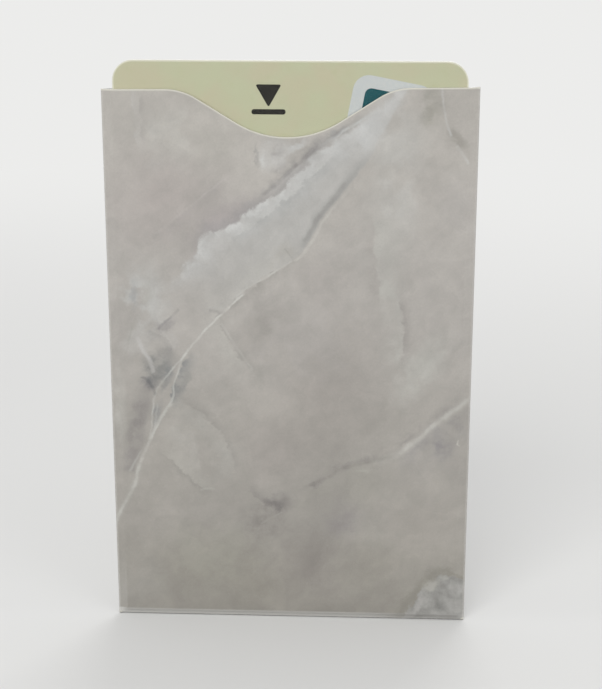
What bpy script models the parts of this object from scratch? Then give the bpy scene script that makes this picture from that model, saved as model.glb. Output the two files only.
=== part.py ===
"""A card sleeve folded from one foil-lined paper sheet, with a contactless card standing in it.

Metres, +Z up towards the open mouth, the front panel facing -Y. The origin is in the middle under
the bottom fold. Run it with blender --background --python part.py, or from the text editor.
"""

from math import cos, pi, radians, sin, sqrt, tan

import bmesh
import bpy
from mathutils import Vector

MM = 0.001

# Card: outline of the common ID-1 format, thickness from its layers
CARD_WIDTH = 53.98 * MM
CARD_HEIGHT = 85.60 * MM
CARD_CORNER_RADIUS = 3.18 * MM
CARD_CORNER_STEPS = 8
OVERLAY = 0.04 * MM
PRINTED_SHEET = 0.14 * MM
INLAY_COVER = 0.17 * MM
INLAY_BASE = 0.18 * MM

# Bonded layers keep this gap, so that their solids never share a face
BOND_GAP = 0.01 * MM

# Antenna: one wire laid in a spiral of rounded rectangles, which crosses its own turns once
COIL_TURNS = 5
COIL_PITCH = 0.50 * MM
COIL_EDGE_DISTANCE = 3.00 * MM
COIL_CORNER_RADIUS = 5.00 * MM
COIL_CORNER_STEPS = 5
COIL_END_RADIUS = 0.50 * MM
WIRE_DIAMETER = 0.10 * MM
WIRE_CLEARANCE = 0.02 * MM
BRIDGE_RAMP = 0.60 * MM
BRIDGE_CLEARANCE = 0.50 * MM
BRIDGE_RUN = 2.06 * MM

# Chip module: a moulded block between two metal contacts, in a window of the inlay
CHIP_WIDTH = 5.00 * MM
CHIP_HEIGHT = 4.80 * MM
CHIP_THICKNESS = 0.30 * MM
CHIP_CORNER_RADIUS = 0.50 * MM
CHIP_COIL_DISTANCE = 4.00 * MM
CONTACT_WIDTH = 1.60 * MM
CONTACT_HEIGHT = 4.20 * MM
CONTACT_THICKNESS = 0.05 * MM
CONTACT_CORNER_RADIUS = 0.20 * MM
CONTACT_GAP = 0.03 * MM
CHIP_WINDOW_CLEARANCE = 0.08 * MM
SMALL_CORNER_STEPS = 3

# Sheet that the sleeve is folded from: printed paper outside, foil inside
PAPER = 0.20 * MM
FOIL = 0.05 * MM

# Sleeve around the card
SIDE_MARGIN = 1.81 * MM
HEAD_MARGIN = 2.40 * MM
POCKET_CLEARANCE = 0.06 * MM
CARD_SIDE_CLEARANCE = 0.05 * MM
FOLD_HALF_GAP = 0.05 * MM
BACK_EDGE_CLEARANCE = 0.30 * MM
BOTTOM_SLOPE = 0.70 * MM
MOUTH_SKEW = 0.62 * MM
FOLD_STEPS = 6
SLOPE_STEPS = 4

# Thumb notch: one valley arc, two straight walls and two shoulder arcs
NOTCH_OFFSET = -0.30 * MM
NOTCH_DEPTH = 7.40 * MM
NOTCH_WALL_ANGLE = radians(32)
NOTCH_VALLEY_RADIUS = 15.00 * MM
NOTCH_SHOULDER_RADIUS = 9.00 * MM
NOTCH_VALLEY_STEPS = 4
NOTCH_SHOULDER_STEPS = 3

# Glued flaps behind the back panel
SIDE_FLAP_WIDTH = 12.00 * MM
BOTTOM_FLAP_HEIGHT = 14.00 * MM
FLAP_TAPER = radians(20)
FLAP_MITRE = radians(45)
CORNER_MITRE_GAP = 0.03 * MM
GLUE = 0.04 * MM
GLUE_INSET = 1.00 * MM
GLUE_CORNER_RADIUS = 0.80 * MM

# How far the card stands out of the mouth, as pictured
CARD_PROTRUSION = 4.12 * MM

CARD_THICKNESS = 2 * (OVERLAY + PRINTED_SHEET) + INLAY_COVER + INLAY_BASE + 5 * BOND_GAP
LAMINATE = FOIL + BOND_GAP + PAPER
SEAM = GLUE + 2 * BOND_GAP
SLEEVE_WIDTH = CARD_WIDTH + 2 * SIDE_MARGIN
SLEEVE_HEIGHT = CARD_HEIGHT + HEAD_MARGIN
MOUTH_LEFT = SLEEVE_HEIGHT - MOUTH_SKEW / 2
MOUTH_RIGHT = SLEEVE_HEIGHT + MOUTH_SKEW / 2

# Lines where the folds begin, where the back panel ends, and where the pocket has its full depth
FOLD_X = SLEEVE_WIDTH / 2 - LAMINATE - FOLD_HALF_GAP
FOLD_Z = LAMINATE + FOLD_HALF_GAP
BACK_EDGE_X = SLEEVE_WIDTH / 2 - LAMINATE - BACK_EDGE_CLEARANCE
BACK_EDGE_Z = LAMINATE + BACK_EDGE_CLEARANCE
POCKET_X = CARD_WIDTH / 2 + CARD_SIDE_CLEARANCE
POCKET_Z = BACK_EDGE_Z + BOTTOM_SLOPE
POCKET_HALF_DEPTH = CARD_THICKNESS / 2 + POCKET_CLEARANCE

# The right and bottom folds also wrap the back panel and its glue, so they are deeper than wide
WRAP_Y = (LAMINATE + SEAM) / 2
WRAP_HALF_GAP = FOLD_HALF_GAP + WRAP_Y

# The flaps thicken the back only, so the card's middle plane lies in front of the sleeve's
CARD_Y = -WRAP_Y
CARD_Z = SLEEVE_HEIGHT + CARD_PROTRUSION - CARD_HEIGHT / 2

# Notch: drop of its straight walls, and half of its width
NOTCH_ROUNDS = NOTCH_VALLEY_RADIUS + NOTCH_SHOULDER_RADIUS
NOTCH_WALL_DROP = NOTCH_DEPTH - NOTCH_ROUNDS * (1 - cos(NOTCH_WALL_ANGLE))
NOTCH_HALF_WIDTH = NOTCH_ROUNDS * sin(NOTCH_WALL_ANGLE) + NOTCH_WALL_DROP / tan(NOTCH_WALL_ANGLE)

# Undersides of the card's layers, from its middle plane, back face first
BACK_OVERLAY_LOW = -CARD_THICKNESS / 2
BACK_SHEET_LOW = BACK_OVERLAY_LOW + OVERLAY + BOND_GAP
BASE_LOW = BACK_SHEET_LOW + PRINTED_SHEET + BOND_GAP
BASE_TOP = BASE_LOW + INLAY_BASE
COVER_LOW = BASE_TOP + BOND_GAP
COVER_TOP = COVER_LOW + INLAY_COVER
FRONT_SHEET_LOW = COVER_TOP + BOND_GAP
FRONT_OVERLAY_LOW = FRONT_SHEET_LOW + PRINTED_SHEET + BOND_GAP

# The wire's heights: sunk in the base sheet, and in the cover sheet where it crosses its turns
WIRE_GROOVE = WIRE_DIAMETER + WIRE_CLEARANCE
TURNS_Z = BASE_TOP - WIRE_GROOVE / 2
BRIDGE_Z = COVER_LOW + WIRE_GROOVE / 2

# Places of the coil and the chip, from the card's middle
COIL_HALF_X = CARD_WIDTH / 2 - COIL_EDGE_DISTANCE
COIL_HALF_Y = CARD_HEIGHT / 2 - COIL_EDGE_DISTANCE
INNER_RUN_Y = -COIL_HALF_Y + COIL_PITCH * COIL_TURNS
CHIP_Y = INNER_RUN_Y + CHIP_COIL_DISTANCE + CHIP_HEIGHT / 2
CONTACT_STEP = CHIP_WIDTH / 2 + CONTACT_GAP + CONTACT_WIDTH / 2
CONTACT_LOW = TURNS_Z + WIRE_DIAMETER / 2 + BOND_GAP

# The bridge comes down on the outer turn's level run, before that turn's first corner
BRIDGE_END_X = COIL_HALF_X - COIL_CORNER_RADIUS - BRIDGE_RUN
CHIP_X = BRIDGE_END_X - BRIDGE_RAMP - BRIDGE_CLEARANCE - COIL_END_RADIUS - CONTACT_STEP

# Corners that two parts of the blank share are this close, and become one
WELD = 0.001 * MM


def clear_scene():
    for obj in list(bpy.data.objects):
        bpy.data.objects.remove(obj, do_unlink=True)


def material(name, colour, roughness, metallic=0.0, alpha=1.0):
    made = bpy.data.materials.new(name)
    made.use_nodes = True
    shader = made.node_tree.nodes["Principled BSDF"]
    shader.inputs["Base Color"].default_value = (*colour, 1.0)
    shader.inputs["Roughness"].default_value = roughness
    shader.inputs["Metallic"].default_value = metallic
    shader.inputs["Alpha"].default_value = alpha
    return made


def add_empty(name, location, turn_x=0.0):
    empty = bpy.data.objects.new(name, None)
    empty.location = location
    empty.rotation_euler.x = turn_x
    bpy.context.scene.collection.objects.link(empty)
    return empty


def add_object(name, data, parent, finish=None):
    if finish:
        data.materials.append(finish)
    obj = bpy.data.objects.new(name, data)
    obj.parent = parent
    bpy.context.scene.collection.objects.link(obj)
    return obj


def add_bmesh(name, bm, parent, finish=None):
    bmesh.ops.recalc_face_normals(bm, faces=bm.faces)
    mesh = bpy.data.meshes.new(name)
    bm.to_mesh(mesh)
    bm.free()
    return add_object(name, mesh, parent, finish)


def smooth_step(share):
    share = min(max(share, 0.0), 1.0)
    return share * share * (3 - 2 * share)


def evenly(start, end, steps):
    return [start + (end - start) * step / steps for step in range(steps)] + [end]


# Outline and lines of the die-cut blank


def notch_drop(x):
    """How far the thumb notch takes the front panel's edge down at x."""
    away = abs(x - NOTCH_OFFSET)
    to_end = NOTCH_HALF_WIDTH - away
    if to_end <= 0:
        return 0.0
    if away <= NOTCH_VALLEY_RADIUS * sin(NOTCH_WALL_ANGLE):
        return NOTCH_DEPTH - NOTCH_VALLEY_RADIUS + sqrt(NOTCH_VALLEY_RADIUS**2 - away**2)
    shoulder = NOTCH_SHOULDER_RADIUS * sin(NOTCH_WALL_ANGLE)
    if to_end <= shoulder:
        return NOTCH_SHOULDER_RADIUS - sqrt(NOTCH_SHOULDER_RADIUS**2 - to_end**2)
    start = NOTCH_SHOULDER_RADIUS * (1 - cos(NOTCH_WALL_ANGLE))
    return start + (to_end - shoulder) * tan(NOTCH_WALL_ANGLE)


def notch_lines():
    """Places across the front panel where the notch's outline has a corner."""
    valley = [NOTCH_VALLEY_RADIUS * sin(turn) for turn in evenly(0, NOTCH_WALL_ANGLE, NOTCH_VALLEY_STEPS)]
    rounding = evenly(0, NOTCH_WALL_ANGLE, NOTCH_SHOULDER_STEPS)
    shoulder = [NOTCH_HALF_WIDTH - NOTCH_SHOULDER_RADIUS * sin(turn) for turn in rounding]
    return sorted({NOTCH_OFFSET + side * away for away in valley + shoulder for side in (-1, 1)})


SIDE_LINES = [FOLD_X] + evenly(BACK_EDGE_X, POCKET_X, SLOPE_STEPS)
LOW_LINES = [FOLD_Z] + evenly(BACK_EDGE_Z, POCKET_Z, SLOPE_STEPS)
FRONT_LINES = [-x for x in SIDE_LINES] + notch_lines() + SIDE_LINES[::-1]
BACK_LINES = [-x for x in SIDE_LINES] + SIDE_LINES[:0:-1]
UPRIGHT_LINES = LOW_LINES + [SLEEVE_HEIGHT]
TURNS = evenly(0, pi, FOLD_STEPS)


def mouth(z, edge):
    """The height z, or where z is the nominal mouth, the real edge there."""
    return edge if z == SLEEVE_HEIGHT else z


def mitre_reach(turn, depth):
    """How far past its line a fold's end runs, so that two folds meet at a corner of the panel."""
    if turn == 0:
        return 0.0
    return (FOLD_HALF_GAP + depth) * sin(turn) - CORNER_MITRE_GAP / 2


def side_flap_ends(x):
    inwards = FOLD_X - x
    return POCKET_Z + inwards * tan(FLAP_MITRE), MOUTH_RIGHT - inwards * tan(FLAP_TAPER)


def bottom_flap_ends(z):
    up = z - FOLD_Z
    return -POCKET_X + up * tan(FLAP_TAPER), POCKET_X - up * tan(FLAP_MITRE)


# Where each part of the blank lies when folded. Depth is measured outwards from the foil's face


def pocket_half_depth(x, z):
    """Half the distance between the foil faces, which close up beside and under the card."""
    across = smooth_step((FOLD_X - abs(x)) / (FOLD_X - POCKET_X))
    along = smooth_step((z - FOLD_Z) / (POCKET_Z - FOLD_Z))
    return FOLD_HALF_GAP + (POCKET_HALF_DEPTH - FOLD_HALF_GAP) * across * along


def front_point(x, z, depth):
    z = mouth(z, SLEEVE_HEIGHT + MOUTH_SKEW * x / (2 * FOLD_X) - notch_drop(x))
    return x, -pocket_half_depth(x, z) - depth, z


def back_point(x, z, depth):
    z = mouth(z, MOUTH_LEFT)
    return x, pocket_half_depth(x, z) + depth, z


def left_fold_point(turn, z, depth):
    reach = FOLD_HALF_GAP + depth
    z = FOLD_Z - mitre_reach(turn, depth) if z == FOLD_Z else mouth(z, MOUTH_LEFT)
    return -FOLD_X - reach * sin(turn), -reach * cos(turn), z


def right_fold_point(turn, z, depth):
    reach = FOLD_HALF_GAP + depth
    z = FOLD_Z - mitre_reach(turn, depth) if z == FOLD_Z else mouth(z, MOUTH_RIGHT)
    return FOLD_X + reach * sin(turn), WRAP_Y - (WRAP_HALF_GAP + depth) * cos(turn), z


def bottom_fold_point(x, turn, depth):
    reach = FOLD_HALF_GAP + depth
    if abs(x) == FOLD_X:
        x += mitre_reach(turn, depth) * (1 if x > 0 else -1)
    return x, WRAP_Y - (WRAP_HALF_GAP + depth) * cos(turn), FOLD_Z - reach * sin(turn)


def side_flap_point(x, z, depth):
    low, high = side_flap_ends(x)
    return back_point(x, high if z == SLEEVE_HEIGHT else low, LAMINATE + SEAM + depth)


def bottom_flap_point(x, z, depth):
    left, right = bottom_flap_ends(z)
    x = left + (right - left) * (x + POCKET_X) / (2 * POCKET_X)
    return back_point(x, z, LAMINATE + SEAM + depth)


def blank_parts():
    """Each part of the blank: lines one way, lines the other way, and where their crossings lie."""
    middle = FOLD_STEPS // 2 + 1
    flap_lines = [x for x in FRONT_LINES if abs(x) <= POCKET_X]
    return [
        (FRONT_LINES, UPRIGHT_LINES, front_point),
        (TURNS[:middle], UPRIGHT_LINES, left_fold_point),
        # Behind its middle, the left fold ends with the back panel, inside the bottom fold
        (TURNS[middle - 1 :], UPRIGHT_LINES[1:], left_fold_point),
        (BACK_LINES, UPRIGHT_LINES[1:], back_point),
        (TURNS, UPRIGHT_LINES, right_fold_point),
        (SIDE_LINES + [FOLD_X - SIDE_FLAP_WIDTH], [POCKET_Z, SLEEVE_HEIGHT], side_flap_point),
        (FRONT_LINES, TURNS, bottom_fold_point),
        (flap_lines, LOW_LINES + [FOLD_Z + BOTTOM_FLAP_HEIGHT], bottom_flap_point),
    ]


def folded_layer(name, inner, outer, parent, finish):
    """One layer of the folded sheet: its outer skin, extruded through the sheet to its inner skin."""
    bm = bmesh.new()
    place = bm.verts.layers.int.new("place")
    inside = []
    for across, along, point in blank_parts():
        rows = []
        for b in along:
            rows.append([bm.verts.new(point(a, b, outer)) for a in across])
            for vert, a in zip(rows[-1], across):
                vert[place] = len(inside)
                inside.append(point(a, b, inner))
        for low, high in zip(rows, rows[1:]):
            for left in range(len(across) - 1):
                bm.faces.new([low[left], low[left + 1], high[left + 1], high[left]])
    bmesh.ops.remove_doubles(bm, verts=bm.verts, dist=WELD)
    bmesh.ops.recalc_face_normals(bm, faces=bm.faces)
    made = bmesh.ops.extrude_face_region(bm, geom=bm.faces[:], use_keep_orig=True)
    for item in made["geom"]:
        if isinstance(item, bmesh.types.BMVert):
            item.co = inside[item[place]]
    layer = add_bmesh(name, bm, parent, finish)
    layer.data.shade_smooth()
    layer.data.set_sharp_from_angle(angle=radians(40))
    return layer


# Glue films, on the flat of the back panel


def side_glue_outline():
    outer, inner = POCKET_X - GLUE_INSET, FOLD_X - SIDE_FLAP_WIDTH + GLUE_INSET
    outer_low, outer_high = side_flap_ends(outer)
    inner_low, inner_high = side_flap_ends(inner)
    return [
        (outer, outer_low + GLUE_INSET),
        (outer, outer_high - GLUE_INSET),
        (inner, inner_high - GLUE_INSET),
        (inner, inner_low + GLUE_INSET),
    ]


def bottom_glue_outline():
    low, high = POCKET_Z + GLUE_INSET, FOLD_Z + BOTTOM_FLAP_HEIGHT - GLUE_INSET
    low_left, low_right = bottom_flap_ends(low)
    high_left, high_right = bottom_flap_ends(high)
    return [
        (low_left + GLUE_INSET, low),
        (low_right - GLUE_INSET, low),
        (high_right - GLUE_INSET, high),
        (high_left + GLUE_INSET, high),
    ]


def thicken(bm, along):
    """Extrudes an open surface into a block, and returns its moved corners."""
    made = bmesh.ops.extrude_face_region(bm, geom=bm.faces[:], use_keep_orig=True)
    moved = [item for item in made["geom"] if isinstance(item, bmesh.types.BMVert)]
    bmesh.ops.translate(bm, verts=moved, vec=along)


def round_edges(bm, edges, radius, steps):
    bmesh.ops.bevel(
        bm, geom=edges, offset=radius, segments=steps, profile=0.5, affect="EDGES", material=-1
    )


def glue_film(name, outline, parent, finish):
    nearest = POCKET_HALF_DEPTH + LAMINATE + BOND_GAP
    bm = bmesh.new()
    bm.faces.new([bm.verts.new((x, nearest, z)) for x, z in outline])
    thicken(bm, (0, GLUE, 0))
    through = [edge for edge in bm.edges if abs(edge.verts[0].co.y - edge.verts[1].co.y) > GLUE / 2]
    round_edges(bm, through, GLUE_CORNER_RADIUS, SMALL_CORNER_STEPS)
    return add_bmesh(name, bm, parent, finish)


# The card's pieces, modelled flat: X across, Y up the card, Z out of its front face


def plate(width, height, low, high, radius, steps, centre=(0.0, 0.0)):
    """A block with its four upright edges rounded."""
    bm = bmesh.new()
    bmesh.ops.create_cube(bm, size=1.0)
    bmesh.ops.scale(bm, vec=(width, height, high - low), verts=bm.verts)
    bmesh.ops.translate(bm, vec=(*centre, (low + high) / 2), verts=bm.verts)
    upright = [edge for edge in bm.edges if abs(edge.verts[0].co.z - edge.verts[1].co.z) > (high - low) / 2]
    round_edges(bm, upright, radius, steps)
    return bm


def card_layer(name, low, thickness, parent, finish):
    outline = plate(CARD_WIDTH, CARD_HEIGHT, low, low + thickness, CARD_CORNER_RADIUS, CARD_CORNER_STEPS)
    return add_bmesh(name, outline, parent, finish)


def cut(obj, cutter):
    cutter.hide_render = True
    cutter.display_type = "WIRE"
    boolean = obj.modifiers.new(cutter.name, "BOOLEAN")
    boolean.operation = "DIFFERENCE"
    boolean.object = cutter


def corner(quarter, across, along, radius):
    """Points of a corner between an upright run at X = across and a level run at Y = along.

    The quarters turn to the left: 0 is bottom right, then top right, top left and bottom left.
    """
    side_x, side_y = (1, 1, -1, -1)[quarter], (-1, 1, 1, -1)[quarter]
    centre = Vector((across - side_x * radius, along - side_y * radius))
    turns = evenly((quarter - 1) * pi / 2, quarter * pi / 2, COIL_CORNER_STEPS)
    return [centre + radius * Vector((cos(turn), sin(turn))) for turn in turns]


def spiral():
    """The turns in plan: each run lies a quarter of the pitch further in than the run before it."""
    points = []
    for step in range(4 * COIL_TURNS):
        quarter = step % 4
        before, after = COIL_PITCH * step / 4, COIL_PITCH * (step + 1) / 4
        # An even corner turns off a level run, and an odd one off an upright run
        level, upright = (before, after) if quarter % 2 == 0 else (after, before)
        across = (COIL_HALF_X - upright) * (1 if quarter in (0, 1) else -1)
        along = (COIL_HALF_Y - level) * (1 if quarter in (1, 2) else -1)
        points += corner(quarter, across, along, COIL_CORNER_RADIUS - after)
    return points


def wire_routes():
    """The wire in plan, in three stretches: from a contact, over the turns, and round to the other contact.

    The middle stretch is the bridge, and its first and last runs are the ramps that it shares.
    """
    outer_x, inner_x = CHIP_X + CONTACT_STEP, CHIP_X - CONTACT_STEP
    climb = Vector((outer_x, INNER_RUN_Y + BRIDGE_CLEARANCE + BRIDGE_RAMP))
    climbed = climb - Vector((0, BRIDGE_RAMP))
    outer_corner = corner(3, outer_x, -COIL_HALF_Y, COIL_END_RADIUS)
    drop = outer_corner[-1] + Vector((BRIDGE_CLEARANCE, 0))
    dropped = drop + Vector((BRIDGE_RAMP, 0))
    first = [Vector((outer_x, CHIP_Y)), climb]
    bridge = [climb, climbed, *outer_corner, drop, dropped]
    last = [dropped, *spiral(), *corner(0, inner_x, INNER_RUN_Y, COIL_END_RADIUS), Vector((inner_x, CHIP_Y))]
    return first, bridge, last


def groove_cutter(name, points, low, high, parent):
    """A square-walled channel along a route, with the wire's clearance on each side."""
    half = WIRE_DIAMETER / 2 + WIRE_CLEARANCE
    bm = bmesh.new()
    ribs = []
    for index, point in enumerate(points):
        arriving = (point - points[index - 1]).normalized() if index else None
        leaving = (points[index + 1] - point).normalized() if index + 1 < len(points) else None
        ahead = ((arriving or leaving) + (leaving or arriving)).normalized()
        if not arriving:
            point = point - half * ahead
        if not leaving:
            point = point + half * ahead
        out = Vector((-ahead.y, ahead.x)) * half / ahead.dot(leaving or arriving)
        ribs.append([bm.verts.new((*(point + side * out), low)) for side in (-1, 1)])
    for near, far in zip(ribs, ribs[1:]):
        bm.faces.new([near[0], far[0], far[1], near[1]])
    thicken(bm, (0, 0, high - low))
    return add_bmesh(name, bm, parent)


def antenna(parent, finish):
    first, bridge, last = wire_routes()
    lifted = [TURNS_Z] + [BRIDGE_Z] * (len(bridge) - 2) + [TURNS_Z]
    points = [(*first[0], TURNS_Z)]
    points += [(*point, height) for point, height in zip(bridge, lifted)]
    points += [(*point, TURNS_Z) for point in last[1:]]
    curve = bpy.data.curves.new("antenna_coil", "CURVE")
    curve.dimensions = "3D"
    curve.bevel_depth = WIRE_DIAMETER / 2
    curve.bevel_resolution = 1
    curve.use_fill_caps = True
    spline = curve.splines.new("POLY")
    spline.points.add(len(points) - 1)
    for spot, point in zip(spline.points, points):
        spot.co = (*point, 1.0)
    return add_object("antenna_coil", curve, parent, finish)


def cut_inlay(base, cover, parent):
    """Cuts the wire's channels and the chip's window into the two inlay sheets."""
    first, bridge, last = wire_routes()
    floor, roof = BASE_TOP - WIRE_GROOVE, COVER_LOW + WIRE_GROOVE
    above, below = BASE_TOP + WIRE_DIAMETER, COVER_LOW - WIRE_DIAMETER
    cut(base, groove_cutter("first_stretch_cutter", first + bridge[1:2], floor, above, parent))
    cut(base, groove_cutter("turns_cutter", bridge[-2:-1] + last, floor, above, parent))
    cut(cover, groove_cutter("bridge_cutter", bridge, below, roof, parent))
    window = plate(
        2 * (CONTACT_STEP + CONTACT_WIDTH / 2 + CHIP_WINDOW_CLEARANCE),
        max(CHIP_HEIGHT, CONTACT_HEIGHT) + 2 * CHIP_WINDOW_CLEARANCE,
        BASE_LOW - INLAY_BASE,
        COVER_TOP + INLAY_COVER,
        CONTACT_CORNER_RADIUS,
        SMALL_CORNER_STEPS,
        (CHIP_X, CHIP_Y),
    )
    window_cutter = add_bmesh("chip_window_cutter", window, parent)
    cut(base, window_cutter)
    cut(cover, window_cutter)


def chip_module(parent, metal, moulding):
    middle = (BASE_LOW + COVER_TOP) / 2
    low, high = middle - CHIP_THICKNESS / 2, middle + CHIP_THICKNESS / 2
    place = (CHIP_X, CHIP_Y)
    body = plate(CHIP_WIDTH, CHIP_HEIGHT, low, high, CHIP_CORNER_RADIUS, SMALL_CORNER_STEPS, place)
    add_bmesh("chip_module_body", body, parent, moulding)
    for name, side in (("chip_contact_inner", -1), ("chip_contact_outer", 1)):
        contact = plate(
            CONTACT_WIDTH,
            CONTACT_HEIGHT,
            CONTACT_LOW,
            CONTACT_LOW + CONTACT_THICKNESS,
            CONTACT_CORNER_RADIUS,
            SMALL_CORNER_STEPS,
            (CHIP_X + side * CONTACT_STEP, CHIP_Y),
        )
        add_bmesh(name, contact, parent, metal)


def build_card():
    # The card stands up with its front face towards -Y, and slides along this empty's Y axis
    slide = add_empty("card_slide_axis", (0, CARD_Y, CARD_Z), turn_x=pi / 2)
    core = material("card_core", (0.80, 0.80, 0.76), 0.55)
    printed = material("card_print", (0.533, 0.527, 0.356), 0.45)
    film = material("clear_film", (0.85, 0.86, 0.80), 0.25, alpha=0.15)
    card_layer("card_back_overlay", BACK_OVERLAY_LOW, OVERLAY, slide, film)
    card_layer("card_back_sheet", BACK_SHEET_LOW, PRINTED_SHEET, slide, core)
    base = card_layer("inlay_base_sheet", BASE_LOW, INLAY_BASE, slide, core)
    cover = card_layer("inlay_cover_sheet", COVER_LOW, INLAY_COVER, slide, core)
    card_layer("card_front_sheet", FRONT_SHEET_LOW, PRINTED_SHEET, slide, printed)
    card_layer("card_front_overlay", FRONT_OVERLAY_LOW, OVERLAY, slide, film)
    cut_inlay(base, cover, slide)
    antenna(slide, material("copper_wire", (0.72, 0.36, 0.20), 0.35, metallic=1.0))
    contact_metal = material("contact_metal", (0.66, 0.63, 0.56), 0.35, metallic=1.0)
    chip_module(slide, contact_metal, material("chip_moulding", (0.03, 0.03, 0.035), 0.5))


def build_sleeve():
    # The card's middle plane is at Y = 0 here, as the pocket is made around it
    pocket = add_empty("pocket_middle", (0, CARD_Y, 0))
    paper = material("marble_paper", (0.42, 0.40, 0.38), 0.6)
    foil = material("aluminium_foil", (0.80, 0.80, 0.81), 0.35, metallic=1.0)
    glue = material("seam_glue", (0.75, 0.72, 0.62), 0.4)
    folded_layer("sleeve_paper", FOIL + BOND_GAP, LAMINATE, pocket, paper)
    folded_layer("foil_lining", 0.0, FOIL, pocket, foil)
    glue_film("side_seam_glue", side_glue_outline(), pocket, glue)
    glue_film("bottom_seam_glue", bottom_glue_outline(), pocket, glue)


def main():
    clear_scene()
    build_sleeve()
    build_card()


main()
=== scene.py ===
# %% [markdown]
# # A card sleeve with its card
# The object is a flat sleeve for one contactless card. A single printed sheet, with foil laminated to its
# inside, is die-cut, folded and glued. The sleeve is open at the top, where a thumb notch shows the card.
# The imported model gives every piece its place. Here the sleeve gets its print, folds and cut edges, and the
# card gets its layers, ink and finish.

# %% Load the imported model
from math import cos, pi, radians, sin, sqrt, tan

import bmesh
import bpy
from mathutils import Matrix, Vector
from mathutils.kdtree import KDTree


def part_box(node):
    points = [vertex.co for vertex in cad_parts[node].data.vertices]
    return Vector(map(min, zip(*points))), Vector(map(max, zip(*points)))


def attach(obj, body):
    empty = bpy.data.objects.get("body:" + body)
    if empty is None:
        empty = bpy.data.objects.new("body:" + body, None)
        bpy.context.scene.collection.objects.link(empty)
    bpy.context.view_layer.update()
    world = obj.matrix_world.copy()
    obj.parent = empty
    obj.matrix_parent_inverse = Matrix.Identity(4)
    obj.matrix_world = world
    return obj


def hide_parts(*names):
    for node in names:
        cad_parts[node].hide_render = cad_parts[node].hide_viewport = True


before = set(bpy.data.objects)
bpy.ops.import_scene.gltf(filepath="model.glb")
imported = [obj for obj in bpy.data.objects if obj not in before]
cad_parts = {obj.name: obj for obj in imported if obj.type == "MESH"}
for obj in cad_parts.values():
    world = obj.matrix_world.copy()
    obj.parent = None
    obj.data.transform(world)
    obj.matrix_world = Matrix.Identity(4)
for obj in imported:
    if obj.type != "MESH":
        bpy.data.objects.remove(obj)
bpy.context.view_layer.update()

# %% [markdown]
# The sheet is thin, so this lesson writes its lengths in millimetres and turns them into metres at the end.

MM = 0.001

# %% [markdown]
# ## Camera
# The sleeve was seen from close by, from above and a little from the right. Such a near camera makes the
# upper edge look wider than the lower one, so its distance matters as much as its angle.

# %% Camera
CAMERA_PLACE = Vector((13.4, -244.96, 121.7)) * MM
CAMERA_DOWN = radians(16.86)
CAMERA_LEFT = radians(2.73)
CAMERA_LENS = 84.33

camera = bpy.data.objects.new("camera", bpy.data.cameras.new("camera"))
camera.location = CAMERA_PLACE
camera.rotation_euler = (pi / 2 - CAMERA_DOWN, 0, CAMERA_LEFT)
camera.data.lens = CAMERA_LENS
camera.data.clip_start = 0.01
bpy.context.scene.collection.objects.link(camera)
bpy.context.scene.camera = camera
bpy.context.scene.view_settings.view_transform = "Standard"
print("Camera", round(CAMERA_PLACE.length / MM), "mm from the foot of the sleeve")

# %% [markdown]
# ## Small tools for shader nodes
# Materials are built from nodes. One helper adds a node and fills its sockets, with numbers or with the
# outputs of other nodes. An output knows the tree that it belongs to, so the tree seldom has to be named.

# %% Helpers for nodes


def add_node(kind, inputs, tree=None, **settings):
    """Adds a shader node, and fills its inputs with values or with links."""
    links = {key: value for key, value in inputs.items() if isinstance(value, bpy.types.NodeSocket)}
    tree = tree or next(iter(links.values())).id_data
    made = tree.nodes.new("ShaderNode" + kind)
    for name, value in settings.items():
        setattr(made, name, value)
    for key, value in inputs.items():
        if key in links:
            tree.links.new(value, made.inputs[key])
        else:
            made.inputs[key].default_value = value
    return made


def compute(operation, first, second=0.0, third=0.0):
    return add_node("Math", {0: first, 1: second, 2: third}, operation=operation).outputs[0]


def multiply(product, *factors):
    for factor in factors:
        product = compute("MULTIPLY", product, factor)
    return product


def vector_math(operation, *vectors, **more):
    made = add_node("VectorMath", {**dict(enumerate(vectors)), **more}, operation=operation)
    return made.outputs[1 if operation in ("DOT_PRODUCT", "LENGTH") else 0]


def ramp(value, start, end, low=0.0, high=1.0):
    """Goes smoothly from low to high while the value goes from start to end."""
    inputs = {0: value, 1: start, 2: end, 3: low, 4: high}
    return add_node("MapRange", inputs, interpolation_type="SMOOTHSTEP", clamp=False).outputs[0]


def mix(share, under, over, blend="MIX"):
    inputs = {0: share, 6: under, 7: over}
    return add_node("Mix", inputs, data_type="RGBA", blend_type=blend).outputs[2]


def noise(point, scale, detail=2.0, roughness=0.5, flat=True, colour=False):
    inputs = {"Vector": point, "Scale": scale, "Detail": detail, "Roughness": roughness}
    made = add_node("TexNoise", inputs, noise_dimensions="2D" if flat else "3D")
    return made.outputs[1 if colour else 0]


def srgb(red, green, blue):
    """A colour as a screen gives it, from 0 to 255, made linear for a shader."""
    parts = [value / 255 for value in (red, green, blue)]
    linear = [part / 12.92 if part <= 0.04045 else ((part + 0.055) / 1.055) ** 2.4 for part in parts]
    return (*linear, 1.0)


def lay(colour, share, *tint):
    """Lays a tint from 0 to 255 over a colour."""
    return mix(share, colour, srgb(*tint))


# %% [markdown]
# A node group holds an effect that several materials use. Its sockets come from the tree's interface. This
# first group is the grain that paper and plastic sheets have: a fine height for a bump, and a slow change of
# tone. The shader itself stays in the material.

# %% Node group for grain
SOCKET_KINDS = {"VALUE": "NodeSocketFloat", "VECTOR": "NodeSocketVector"}


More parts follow.
